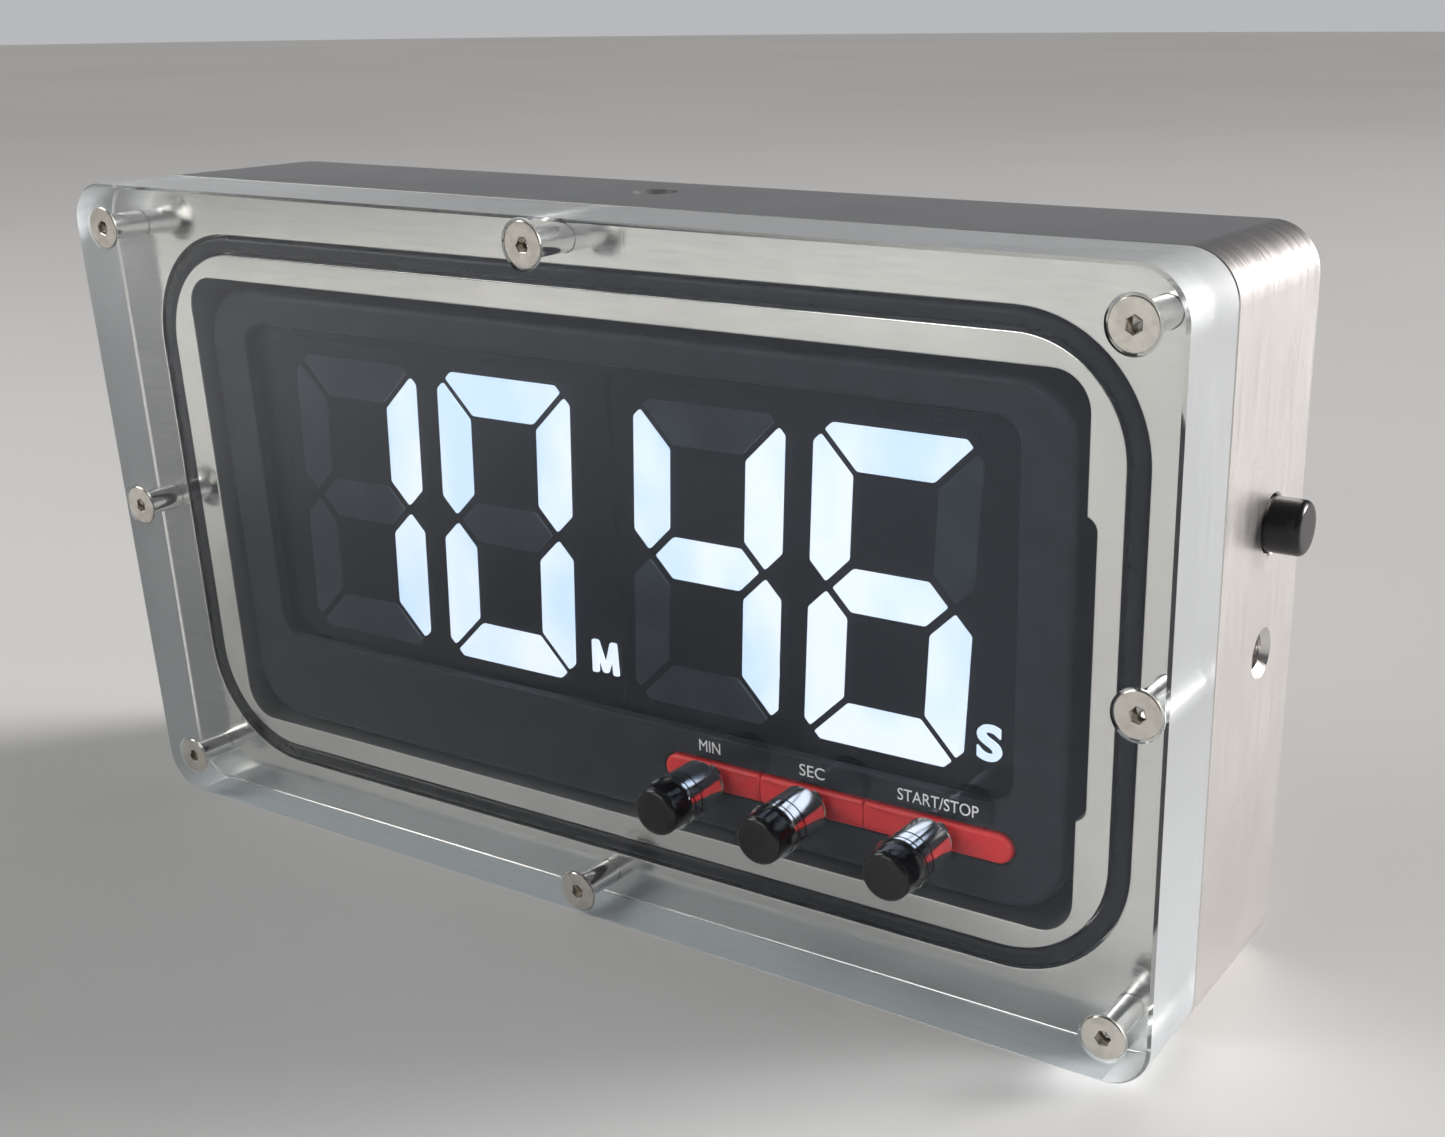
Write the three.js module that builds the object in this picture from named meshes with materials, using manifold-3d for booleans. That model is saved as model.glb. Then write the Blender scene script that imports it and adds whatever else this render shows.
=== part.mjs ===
// Sealed count-down timer: a milled aluminium housing with a thick clear window, three front
// plungers and one side plunger that press the buttons of a large-digit timer inside.
// Millimetres, +Z up. The origin is the centre of the housing's bottom face, and the window faces -Y.

import * as THREE from 'three';
import { mergeVertices } from 'three/addons/utils/BufferGeometryUtils.js';
import Module from 'manifold-3d';

const wasm = await Module();
wasm.setup();

// ---- driving dimensions -------------------------------------------------------------------

const WIDTH = 200;
const HEIGHT = 110.4;
const BODY_DEPTH = 30.4;
const WINDOW_THICK = 15.7;
const FACE_GAP = 0.1; // between two faces that are clamped together
const CORNER_R = 7;
const ROUND_SIDES = 20; // sides of a round bore
const ARC_STEPS = 5; // steps in a rounded corner

const MID_Z = HEIGHT / 2;
const FLANGE_Y = -BODY_DEPTH / 2;
const WINDOW_BACK_Y = FLANGE_Y - FACE_GAP;
const WINDOW_FRONT_Y = WINDOW_BACK_Y - WINDOW_THICK;

const POCKET = { width: 167, height: 79.8, radius: 5.5, depth: 27.2 };
const NOTCH = { x: 85, low: -24, high: 23.6, ramp: 3 }; // relief in the pocket's right wall
const GROOVE = { width: 184, height: 94.6, radius: 19.5, across: 3.2, depth: 2.4 };
const SEAL_CLEAR = 0.25; // between the seal and the walls of its groove

const SCREW = { headR: 3.35, rim: 0.3, shankR: 1.65, length: 25, point: 0.7, socketR: 1.15, socketDepth: 2 };
const SCREW_HOLE = { sinkR: 3.65, rim: 0.4, boreR: 2.1, tapR: 1.95, tapDepth: 12 };
const SCREW_SIDES = 14;
const SCREW_X = 93.1;
const SCREW_Z = 48.1;
const EDGE_SCREW_X = 95.9;
const EDGE_SCREW_Z = 51.2;

const PLUNGER = { headR: 3.85, boreR: 4.1, stemR: 1.9, holeR: 2.2, headLength: 6.8, rim: 0.7 };
const PRESS_GAP = 0.3; // from the end of a stem to the button or key it presses
const BORE_DEPTH = 13.8; // wide part of a plunger's bore in the window
const SIDE_BORE_DEPTH = 13.5; // and in the housing's right wall
const SEAL_AT = [1.7, 4.9]; // middle of each seal, behind the mouth of the bore
const SEAL_SECTION_R = 0.5;
const SEAL_MID_R = 3.5;
const SEAL_GROOVE_CLEAR = { radial: 0.1, axial: 0.15 };
const CLIP = { outerR: 3.3, innerR: 1.65, thick: 0.5, gap: 0.25, slot: 2.2 };
const CLIP_GROOVE_CLEAR = { radial: 0.15, axial: 0.1 };
const SPRING = { meanR: 3, wireR: 0.3, turns: 4.5, start: 8.3, end: 12.9 };
const FRONT_CAP = 4.2; // how far a front plunger stands out of the window
const SIDE_CAP = 5;

const FRONT_PLUNGERS = { min: 20.6, sec: 39.4, start: 61 };
const FRONT_PLUNGER_Z = MID_Z - 30.3;
const SIDE_PLUNGER = { y: 2.8, z: MID_Z + 16.7 };

const MOUNT_HOLE = { radius: 3.175, depth: 12 }; // 1/4 in accessory thread, drawn at its outer size
const SIDE_MOUNT = { y: 2.2, z: MID_Z - 1.8 };
const TOP_MOUNT = { x: -2.5, y: 2.2 };

// The timer's own frame: x and z from the middle of its face, y from the face backwards.
const TIMER = { x: -0.6, y: FLANGE_Y + 2, z: MID_Z - 0.65, width: 163.6, height: 77.3, depth: 24.9 };
const CASE = { radius: 9.5, wall: 2, face: 1.8, split: 12, splitGap: 0.15 };
const OPENING = { x: 0.1, z: 5.4, width: 146.6, height: 55.9, radius: 4 };
const LENS = { y: 2.1, thick: 1.2, lap: 1.3 };
const MODULE = { y: 4, depth: 5, z: 4.05, height: 54, raise: 0.4 };
const DIGIT = { halfWidth: 13.6, halfHeight: 24.4, bar: 6.6, mitre: 0.8, cut: 1.05, point: 0.45 };
const DIGIT_SLANT = 0.062;
const DIGIT_PITCH = 32.2;
const MINUTES = { x: -36.75, left: -69, right: 1.5 };
const SECONDS = { x: 35.3, left: 2.5, right: 72 };
const BOARD = { y: 9.3, thick: 1.6, width: 143, height: 66, radius: 2 };

const BUTTON_Z = -29.35;
const BUTTON = { height: 4.6, proud: 0.5, clear: 0.3, ribR: 2.2, ribEnd: 4.6 };
const BUTTON_LIP = { y: 2.2, thick: 1, proud: 0.9, inset: 2.2 }; // holds a button behind the case's face
const BUTTON_EDGES = { min: [12.3, 30.4], sec: [30.6, 49], start: [49.2, 73.8] };
const SWITCH = { size: 6, y: 6, boreR: 2.1, stemR: 1.7, stemY: 4.9, stemEnd: 7.6, floor: 0.3 };
const SWITCH_GAP = 0.2; // from a switch to the board behind it
const SIDE_KEY = { y: 16, z: 17.35, across: 3.4, height: 11, proud: 1.2, tail: 77.4, lip: 1.2, clear: 0.3 };
const SIDE_SWITCH = { x: 72.6, depth: 3.6, y: 11.2, width: 9, height: 7 };

const BATTERY = { radius: 5.2, length: 44, y: 17, pitch: 11, x: -18, z: -1 };
const CELL_TIP = { radius: 1.9, length: 0.9, shoulder: 0.5 };
const COVER = { width: 56, height: 37, radius: 3, clear: 0.3, thick: 1.6, recess: 0.05 };
const CONTACT = { thick: 0.6, height: 32, depth: 8, gap: 0.8 };
const BUZZER = { x: 38, z: -8, radius: 6.5, height: 6, gap: 0.3, holeR: 1.2, holeDepth: 1 };
const CASE_SCREW = { x: 75.8, z: 32.7, bossR: 3.4, headR: 2.5, headHeight: 1.8, shankR: 1.1, tip: 6 };
const CASE_SEAT_GAP = 0.3; // under the head of a case screw
const CASE_BOSS = { front: 3.7, pilotR: 1.4, pilotY: 5, clearR: 1.6, sinkR: 2.8, sinkDepth: 3 };

// ---- finishes -----------------------------------------------------------------------------

function finish(color, roughness, metalness) {
  return new THREE.MeshStandardMaterial({ color, roughness, metalness });
}

const ALUMINIUM = [0xc9c8c2, 0.38, 1];
const STAINLESS = [0xb9b6ab, 0.25, 1];
const CLEAR_ACRYLIC = [0xdfe9ee, 0.05, 0];
const BLACK_RUBBER = [0x0b0b0c, 0.55, 0];
const BLACK_PLUNGER = [0x0e0e10, 0.3, 0];
const CASE_BLACK = [0x15171b, 0.55, 0];
const TINTED = [0x0a0c14, 0.08, 0];
const DIGIT_WHITE = [0xcfe4ff, 0.5, 0];
const RED_PLASTIC = [0xc02126, 0.42, 0];
const BOARD_GREEN = [0x1d4a2e, 0.5, 0];
const SWITCH_BLACK = [0x1b1b1d, 0.5, 0];
const CELL_SLEEVE = [0x3a3f45, 0.35, 0.3];
const NICKEL = [0xa9a79f, 0.3, 1];

// ---- solids -------------------------------------------------------------------------------

function signedVolume(position, index) {
  let total = 0;
  const [a, b, c] = [new THREE.Vector3(), new THREE.Vector3(), new THREE.Vector3()];
  for (let i = 0; i < index.length; i += 3) {
    a.fromBufferAttribute(position, index[i]);
    b.fromBufferAttribute(position, index[i + 1]);
    c.fromBufferAttribute(position, index[i + 2]);
    total += a.dot(b.cross(c)) / 6;
  }
  return total;
}

// A geometry as a closed manifold-3d solid: shared corners merged, slivers dropped, faces outward.
function solidOf(geometry) {
  const bare = new THREE.BufferGeometry();
  bare.setAttribute('position', geometry.getAttribute('position'));
  bare.setIndex(geometry.getIndex());
  const merged = mergeVertices(bare, 1e-4);
  const all = Array.from(merged.getIndex().array);
  const kept = [];
  for (let i = 0; i < all.length; i += 3) {
    const [p, q, r] = all.slice(i, i + 3);
    if (p !== q && q !== r && r !== p) kept.push(p, q, r);
  }
  if (signedVolume(merged.getAttribute('position'), kept) < 0) kept.reverse();
  const vertProperties = new Float32Array(merged.getAttribute('position').array);
  const triVerts = new Uint32Array(kept);
  return new wasm.Manifold(new wasm.Mesh({ numProp: 3, vertProperties, triVerts }));
}

function geometryOf(solid) {
  const mesh = solid.getMesh();
  const geometry = new THREE.BufferGeometry();
  geometry.setAttribute('position', new THREE.BufferAttribute(new Float32Array(mesh.vertProperties), 3));
  geometry.setIndex(Array.from(mesh.triVerts));
  return geometry;
}

function cut(base, tools) {
  return tools.reduce((left, tool) => left.subtract(solidOf(tool)), solidOf(base));
}

function join(pieces) {
  return pieces.slice(1).reduce((sum, piece) => sum.add(solidOf(piece)), solidOf(pieces[0]));
}

// ---- shapes -------------------------------------------------------------------------------

function roundedRect(width, height, radius, x = 0, z = 0) {
  const [left, right, low, high] = [x - width / 2, x + width / 2, z - height / 2, z + height / 2];
  const shape = new THREE.Shape();
  shape.moveTo(left + radius, low);
  shape.absarc(right - radius, low + radius, radius, -Math.PI / 2, 0);
  shape.absarc(right - radius, high - radius, radius, 0, Math.PI / 2);
  shape.absarc(left + radius, high - radius, radius, Math.PI / 2, Math.PI);
  shape.absarc(left + radius, low + radius, radius, Math.PI, Math.PI * 1.5);
  return shape;
}

function circle(radius, x = 0, z = 0) {
  return new THREE.Shape().absarc(x, z, radius, 0, Math.PI * 2);
}

// An outline drawn in x and z, made solid from y = front to y = back.
function slab(shape, front, back, steps = ARC_STEPS) {
  const geometry = new THREE.ExtrudeGeometry(shape, {
    depth: back - front, bevelEnabled: false, curveSegments: steps,
  });
  geometry.rotateX(Math.PI / 2);
  geometry.translate(0, back, 0);
  return geometry;
}

// A round bar along y.
function rod(radius, front, back, x = 0, z = 0, sides = ROUND_SIDES) {
  const geometry = new THREE.CylinderGeometry(radius, radius, back - front, sides);
  geometry.translate(x, (front + back) / 2, z);
  return geometry;
}

function block(x0, x1, y0, y1, z0, z1) {
  const geometry = new THREE.BoxGeometry(x1 - x0, y1 - y0, z1 - z0);
  geometry.translate((x0 + x1) / 2, (y0 + y1) / 2, (z0 + z1) / 2);
  return geometry;
}

// A turned piece about y, from [radius, y] pairs that start and end on the axis.
function turned(profile, sides = ROUND_SIDES) {
  return new THREE.LatheGeometry(profile.map(([r, y]) => new THREE.Vector2(r, y)), sides);
}

function piece(name, solid, look) {
  const mesh = new THREE.Mesh(geometryOf(solid), finish(...look));
  mesh.name = name;
  return mesh;
}

function at(object, x, y, z) {
  object.position.set(x, y, z);
  return object;
}

// ---- housing ------------------------------------------------------------------------------

const OVER = 1; // how far a cutter runs past the face it enters

const halfOfScrews = [[SCREW_X, SCREW_Z], [EDGE_SCREW_X, 0], [SCREW_X, -SCREW_Z], [0, -EDGE_SCREW_Z]];
const screwSpots = halfOfScrews.flatMap(([x, z]) => [[x, z], [-x, -z]]);

// The pocket's outline, with a shallow relief in its right wall that starts and ends in a soft step.
function pocketShape() {
  const { width, height, radius } = POCKET;
  const [x, z] = [width / 2, height / 2];
  const { ramp, low, high } = NOTCH;
  const shape = new THREE.Shape();
  shape.moveTo(-x + radius, -z);
  shape.absarc(x - radius, -z + radius, radius, -Math.PI / 2, 0);
  shape.lineTo(x, low);
  shape.bezierCurveTo(x, low + ramp / 2, NOTCH.x, low + ramp / 2, NOTCH.x, low + ramp);
  shape.lineTo(NOTCH.x, high - ramp);
  shape.bezierCurveTo(NOTCH.x, high - ramp / 2, x, high - ramp / 2, x, high);
  shape.absarc(x - radius, z - radius, radius, 0, Math.PI / 2);
  shape.absarc(-x + radius, z - radius, radius, Math.PI / 2, Math.PI);
  shape.absarc(-x + radius, -z + radius, radius, Math.PI, Math.PI * 1.5);
  return shape;
}

function grooveShape(clear) {
  const { width, height, radius, across } = GROOVE;
  const shape = roundedRect(width - 2 * clear, height - 2 * clear, radius - clear);
  const inset = across - clear;
  shape.holes.push(roundedRect(width - 2 * inset, height - 2 * inset, radius - inset));
  return shape;
}

// A hole bored inwards from the right side, with its floor at the given x.
function sideBore(radius, floor, { y, z }) {
  return rod(radius, floor, WIDTH / 2 + OVER).rotateZ(-Math.PI / 2).translate(0, y, z - MID_Z);
}

function topBore(radius, depth, { x, y }) {
  return rod(radius, MID_Z - depth, MID_Z + OVER).rotateX(Math.PI / 2).translate(x, y, 0);
}

function tappedHole([x, z]) {
  return rod(SCREW_HOLE.tapR, FLANGE_Y - OVER, FLANGE_Y + SCREW_HOLE.tapDepth, x, z, 12);
}

function housingBody() {
  return cut(slab(roundedRect(WIDTH, HEIGHT, CORNER_R), FLANGE_Y, -FLANGE_Y), [
    slab(pocketShape(), FLANGE_Y - OVER, FLANGE_Y + POCKET.depth),
    slab(grooveShape(0), FLANGE_Y - OVER, FLANGE_Y + GROOVE.depth),
    sideBore(PLUNGER.boreR, WIDTH / 2 - SIDE_BORE_DEPTH, SIDE_PLUNGER),
    sideBore(PLUNGER.holeR, NOTCH.x - OVER, SIDE_PLUNGER),
    sideBore(MOUNT_HOLE.radius, WIDTH / 2 - MOUNT_HOLE.depth, SIDE_MOUNT),
    topBore(MOUNT_HOLE.radius, MOUNT_HOLE.depth, TOP_MOUNT),
    ...screwSpots.map(tappedHole),
  ]);
}

// The countersunk hole for a window screw, from the window's front face backwards.
function screwCutter() {
  const { sinkR, rim, boreR } = SCREW_HOLE;
  const end = WINDOW_THICK + OVER;
  return turned([[0, -OVER], [sinkR, -OVER], [sinkR, rim], [boreR, rim + sinkR - boreR], [boreR, end],
    [0, end]], SCREW_SIDES);
}

function plungerCutter() {
  const { boreR, holeR } = PLUNGER;
  const end = WINDOW_THICK + OVER;
  return turned([[0, -OVER], [boreR, -OVER], [boreR, BORE_DEPTH], [holeR, BORE_DEPTH], [holeR, end],
    [0, end]]);
}

function frontWindow() {
  const front = WINDOW_FRONT_Y;
  const tools = screwSpots.map(([x, z]) => screwCutter().translate(x, front, z));
  for (const x of Object.values(FRONT_PLUNGERS)) {
    tools.push(plungerCutter().translate(x, front, FRONT_PLUNGER_Z - MID_Z));
  }
  return cut(slab(roundedRect(WIDTH, HEIGHT, CORNER_R), front, WINDOW_BACK_Y), tools);
}

// The seal is a little smaller than its groove, with rounded long edges.
function windowSeal() {
  const soft = 0.6;
  const depth = GROOVE.depth - 2 * SEAL_CLEAR;
  const geometry = new THREE.ExtrudeGeometry(grooveShape(SEAL_CLEAR + soft), {
    depth: depth - 2 * soft, curveSegments: ARC_STEPS,
    bevelThickness: soft, bevelSize: soft, bevelSegments: 1,
  });
  geometry.rotateX(Math.PI / 2);
  geometry.translate(0, FLANGE_Y + SEAL_CLEAR + depth - soft, 0);
  return solidOf(geometry);
}

// A countersunk screw with a hexagon socket.
function windowScrew() {
  const { headR, rim, shankR, length, point, socketR, socketDepth } = SCREW;
  const body = turned([[0, 0], [headR, 0], [headR, rim], [shankR, rim + headR - shankR],
    [shankR, length - point], [shankR - point, length], [0, length]], SCREW_SIDES);
  return cut(body, [rod(socketR, -OVER, socketDepth, 0, 0, 6)]);
}

function housing() {
  const group = new THREE.Group();
  group.add(piece('housing_body', housingBody(), ALUMINIUM));
  group.add(piece('front_window', frontWindow(), CLEAR_ACRYLIC));
  group.add(piece('window_seal', windowSeal(), BLACK_RUBBER));
  screwSpots.forEach(([x, z], i) => {
    group.add(at(piece(`window_screw_${i + 1}`, windowScrew(), STAINLESS), x, WINDOW_FRONT_Y, z));
  });
  return at(group, 0, 0, MID_Z);
}

// ---- plungers -----------------------------------------------------------------------------

// Everything on a plunger is placed behind the mouth of its bore, along +y.
function plungerBody(cap, clipAt, end) {
  const { headR, stemR, headLength, rim } = PLUNGER;
  const bevel = rim * 0.3;
  const profile = [[0, -cap], [headR - rim, -cap], [headR - bevel, -cap + bevel], [headR, -cap + rim]];
  const grooveR = SEAL_MID_R - SEAL_SECTION_R - SEAL_GROOVE_CLEAR.radial;
  const half = SEAL_SECTION_R + SEAL_GROOVE_CLEAR.axial;
  for (const y of SEAL_AT) {
    profile.push([headR, y - half], [grooveR, y - half], [grooveR, y + half], [headR, y + half]);
  }
  const neckR = CLIP.innerR - CLIP_GROOVE_CLEAR.radial;
  const front = clipAt - CLIP_GROOVE_CLEAR.axial;
  const back = clipAt + CLIP.thick + CLIP_GROOVE_CLEAR.axial;
  profile.push([headR, headLength], [stemR, headLength], [stemR, front], [neckR, front], [neckR, back],
    [stemR, back], [stemR, end], [0, end]);
  return solidOf(turned(profile));
}

function plungerSeal(y) {
  const ring = new THREE.TorusGeometry(SEAL_MID_R, SEAL_SECTION_R, 6, ROUND_SIDES);
  ring.rotateX(Math.PI / 2);
  ring.translate(0, y, 0);
  return solidOf(ring);
}

// A flat snap ring, open on one side.
function retainingClip(y) {
  const ring = circle(CLIP.outerR);
  ring.holes.push(circle(CLIP.innerR));
  const half = CLIP.slot / 2;
  const slot = block(-half, half, y - OVER, y + CLIP.thick + OVER, 0, CLIP.outerR + OVER);
  return cut(slab(ring, y, y + CLIP.thick, 8), [slot]);
}

class Helix extends THREE.Curve {
  getPoint(t, target = new THREE.Vector3()) {
    const angle = t * SPRING.turns * Math.PI * 2;
    const y = SPRING.start + (SPRING.end - SPRING.start) * t;
    return target.set(SPRING.meanR * Math.cos(angle), y, SPRING.meanR * Math.sin(angle));
  }
}

function returnSpring() {
  const wire = circle(SPRING.wireR);
  const steps = Math.round(SPRING.turns * 10);
  return solidOf(new THREE.ExtrudeGeometry(wire, {
    steps, extrudePath: new Helix(), curveSegments: 3, bevelEnabled: false,
  }));
}

function plungerSet(name, cap, wall, end) {
  const group = new THREE.Group();
  const clipAt = wall + CLIP.gap;
  group.add(piece(`${name}_plunger`, plungerBody(cap, clipAt, end), BLACK_PLUNGER));
  group.add(piece(`${name}_outer_seal`, plungerSeal(SEAL_AT[0]), BLACK_RUBBER));
  group.add(piece(`${name}_inner_seal`, plungerSeal(SEAL_AT[1]), BLACK_RUBBER));
  group.add(piece(`${name}_clip`, retainingClip(clipAt), STAINLESS));
  group.add(piece(`${name}_spring`, returnSpring(), STAINLESS));
  return group;
}

function plungers() {
  const group = new THREE.Group();
  const buttonFace = TIMER.y - BUTTON.proud - WINDOW_FRONT_Y;
  for (const [name, x] of Object.entries(FRONT_PLUNGERS)) {
    const set = plungerSet(name, FRONT_CAP, WINDOW_THICK, buttonFace - PRESS_GAP);
    group.add(at(set, x, WINDOW_FRONT_Y, FRONT_PLUNGER_Z));
  }
  const wall = WIDTH / 2 - NOTCH.x;
  const keyFace = WIDTH / 2 - (TIMER.x + TIMER.width / 2 + SIDE_KEY.proud);
  const side = plungerSet('side', SIDE_CAP, wall, keyFace - PRESS_GAP);
  side.rotation.z = Math.PI / 2;
  group.add(at(side, WIDTH / 2, SIDE_PLUNGER.y, SIDE_PLUNGER.z));
  return group;
}

// ---- timer case ---------------------------------------------------------------------------

const cornerSigns = [[1, 1], [-1, 1], [-1, -1], [1, -1]];
const bossSpots = cornerSigns.map(([i, j]) => [i * CASE_SCREW.x, j * CASE_SCREW.z]);

function caseShape(inset) {
  return roundedRect(TIMER.width - 2 * inset, TIMER.height - 2 * inset, CASE.radius - inset);
}

// The end buttons are round on their outer side, and all other ends are square.
function buttonShape(name) {
  const [x0, x1] = BUTTON_EDGES[name];
  const half = BUTTON.height / 2;
  const shape = new THREE.Shape();
  if (name === 'start') shape.absarc(x1 - half, BUTTON_Z, half, -Math.PI / 2, Math.PI / 2);
  else shape.moveTo(x1, BUTTON_Z - half).lineTo(x1, BUTTON_Z + half);
  if (name === 'min') shape.absarc(x0 + half, BUTTON_Z, half, Math.PI / 2, Math.PI * 1.5);
  else shape.lineTo(x0, BUTTON_Z + half).lineTo(x0, BUTTON_Z - half);
  return shape;
}

// The same round bar at each of the four screws that hold the case together.
function bossRods(radius, front, back) {
  return bossSpots.map(([x, z]) => solidOf(rod(radius, front, back, x, z, 12)));
}

// The display opening and, below it, the one long slot that the three buttons fill end to end.
function openingShape() {
  return roundedRect(OPENING.width, OPENING.height, OPENING.radius, OPENING.x, OPENING.z);
}

function buttonSlotShape() {
  const [left, right] = [BUTTON_EDGES.min[0] - BUTTON.clear, BUTTON_EDGES.start[1] + BUTTON.clear];
  const height = BUTTON.height + 2 * BUTTON.clear;
  return roundedRect(right - left, height, height / 2, (left + right) / 2, BUTTON_Z);
}

function frontCase() {
  const shell = cut(slab(caseShape(0), 0, CASE.split), [
    slab(caseShape(CASE.wall), CASE.face, CASE.split + OVER),
    slab(openingShape(), -OVER, CASE.face + OVER),
    slab(buttonSlotShape(), -OVER, CASE.face + OVER),
  ]);
  const bosses = bossRods(CASE_SCREW.bossR, CASE_BOSS.front, CASE.split);
  const pilots = bossRods(CASE_BOSS.pilotR, CASE_BOSS.pilotY, CASE.split + OVER);
  const joined = bosses.reduce((sum, boss) => sum.add(boss), shell);
  return pilots.reduce((left, pilot) => left.subtract(pilot), joined);
}

function coverShape(clear) {
  const { width, height, radius } = COVER;
  return roundedRect(width - 2 * clear, height - 2 * clear, radius - clear, BATTERY.x, BATTERY.z);
}

function rearCase() {
  const front = CASE.split + CASE.splitGap;
  const inner = TIMER.depth - CASE.face;
  const edge = TIMER.width / 2;
  const slotHalf = SIDE_KEY.height / 2 + SIDE_KEY.clear;
  const slotAcross = SIDE_KEY.across / 2 + SIDE_KEY.clear;
  const shell = cut(slab(caseShape(0), front, TIMER.depth), [
    slab(caseShape(CASE.wall), front - OVER, inner),
    slab(coverShape(0), inner - OVER, TIMER.depth + OVER),
    block(edge - CASE.wall - OVER, edge + OVER, SIDE_KEY.y - slotAcross, SIDE_KEY.y + slotAcross,
      SIDE_KEY.z - slotHalf, SIDE_KEY.z + slotHalf),
  ]);
  const bosses = bossRods(CASE_SCREW.bossR, front, inner + CASE.face / 2);
  const holes = bossRods(CASE_BOSS.clearR, front - OVER, TIMER.depth + OVER);
  const sinks = bossRods(CASE_BOSS.sinkR, TIMER.depth - CASE_BOSS.sinkDepth, TIMER.depth + OVER);
  const joined = bosses.reduce((sum, boss) => sum.add(boss), shell);
  return [...holes, ...sinks].reduce((left, tool) => left.subtract(tool), joined);
}

function caseScrew() {
  const { headR, headHeight, shankR, tip } = CASE_SCREW;
  const head = TIMER.depth - CASE_BOSS.sinkDepth + CASE_SEAT_GAP;
  return solidOf(turned([[0, tip], [shankR * 0.4, tip], [shankR, tip + 1.5], [shankR, head], [headR, head],
    [headR, head + headHeight * 0.6], [headR * 0.7, head + headHeight], [0, head + headHeight]], 10));
}

function batteryCover() {
  return solidOf(slab(coverShape(COVER.clear), TIMER.depth - COVER.thick, TIMER.depth - COVER.recess));
}

// ---- timer display ------------------------------------------------------------------------

// Half of each seven-segment outline; the other half is its mirror image.
function segmentOutlines() {
  const { halfWidth: w, halfHeight: h, bar, mitre: m, cut: c, point } = DIGIT;
  const inner = w - bar;
  const tip = w - bar / 2 + point;
  const diagonal = tip + m;
  const top = [[w - m - 2 * c, h], [w - m - c, h - c], [inner - m, h - bar]];
  const middle = [[inner - m, bar / 2], [inner - m + bar / 2, 0], [inner - m, -bar / 2]];
  const side = [[w - c, h - m - c], [w, h - m - 2 * c], [w, w - tip + m], [tip, m],
    [inner, diagonal - inner], [inner, h - bar - m]];
  const flip = (points, i, j) => points.map(([x, z]) => [i * x, j * z]);
  const both = (points) => [...points, ...flip(points, -1, 1).reverse()];
  const sides = cornerSigns.map(([i, j]) => flip(side, i, j));
  return [both(top), flip(both(top), 1, -1), both(middle), ...sides];
}

// The seven bars of one digit, which lean a little to the right.
function digitBars(x) {
  return segmentOutlines().map((points) => {
    const leaning = points.map(([u, v]) => new THREE.Vector2(x + u + v * DIGIT_SLANT, MODULE.z + v));
    return slab(new THREE.Shape(leaning), MODULE.y - MODULE.raise, MODULE.y + MODULE.raise);
  });
}

function displayModule({ x, left, right }) {
  const low = MODULE.z - MODULE.height / 2;
  const base = block(left, right, MODULE.y, MODULE.y + MODULE.depth, low, low + MODULE.height);
  const bars = [-0.5, 0.5].flatMap((side) => digitBars(x + side * DIGIT_PITCH));
  return join([base, ...bars]);
}

function displayLens() {
  const shape = roundedRect(OPENING.width + 2 * LENS.lap, OPENING.height + 2 * LENS.lap, OPENING.radius,
    OPENING.x, OPENING.z);
  return solidOf(slab(shape, LENS.y, LENS.y + LENS.thick, 5));
}

// ---- timer controls -----------------------------------------------------------------------

function buttonCap(name) {
  const { y, thick, proud, inset } = BUTTON_LIP;
  const middle = y + thick / 2;
  const face = slab(buttonShape(name), -BUTTON.proud, middle, 6);
  const [x0, x1] = BUTTON_EDGES[name];
  const half = BUTTON.height / 2 + proud;
  const lip = block(x0 + inset, x1 - inset, y, y + thick, BUTTON_Z - half, BUTTON_Z + half);
  const rib = rod(BUTTON.ribR, middle, BUTTON.ribEnd, FRONT_PLUNGERS[name] - TIMER.x, BUTTON_Z, 12);
  return join([face, lip, rib]);
}

function switchBody(x) {
  const half = SWITCH.size / 2;
  const back = BOARD.y - SWITCH_GAP;
  const body = block(x - half, x + half, SWITCH.y, back, BUTTON_Z - half, BUTTON_Z + half);
  return cut(body, [rod(SWITCH.boreR, SWITCH.y - OVER, back - SWITCH.floor, x, BUTTON_Z, 12)]);
}

function switchStem(x) {
  return solidOf(rod(SWITCH.stemR, SWITCH.stemY, SWITCH.stemEnd, x, BUTTON_Z, 12));
}

// The side key slides in the right wall of the rear case and its tail works the side switch.
function sideKey() {
  const { y, z, across, height, proud, tail, lip, clear } = SIDE_KEY;
  const edge = TIMER.width / 2;
  const inside = edge - CASE.wall - clear;
  const [halfY, halfZ] = [across / 2, height / 2];
  return join([
    block(inside - 1, edge + proud, y - halfY, y + halfY, z - halfZ, z + halfZ),
    block(inside - 1, inside, y - halfY - lip, y + halfY + lip, z - halfZ - lip, z + halfZ + lip),
    block(tail, inside - 0.5, y - 1, y + 1, z - 1, z + 1),
  ]);
}

function sideSwitch() {
  const { x, depth, y, width, height } = SIDE_SWITCH;
  const z = SIDE_KEY.z;
  return solidOf(block(x, x + depth, y, y + width, z - height / 2, z + height / 2));
}

// ---- timer electrics ----------------------------------------------------------------------

function circuitBoard() {
  const shape = roundedRect(BOARD.width, BOARD.height, BOARD.radius);
  return solidOf(slab(shape, BOARD.y, BOARD.y + BOARD.thick, 3));
}

function battery() {
  const { radius, length } = BATTERY;
  const { radius: tipR, length: tipLength, shoulder } = CELL_TIP;
  const half = length / 2;
  const top = half - shoulder;
  return solidOf(turned([[0, -half], [radius - shoulder, -half], [radius, -half + shoulder],
    [radius, top - shoulder], [radius - shoulder, top], [tipR, top], [tipR, top + tipLength],
    [0, top + tipLength]], 16));
}

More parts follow.
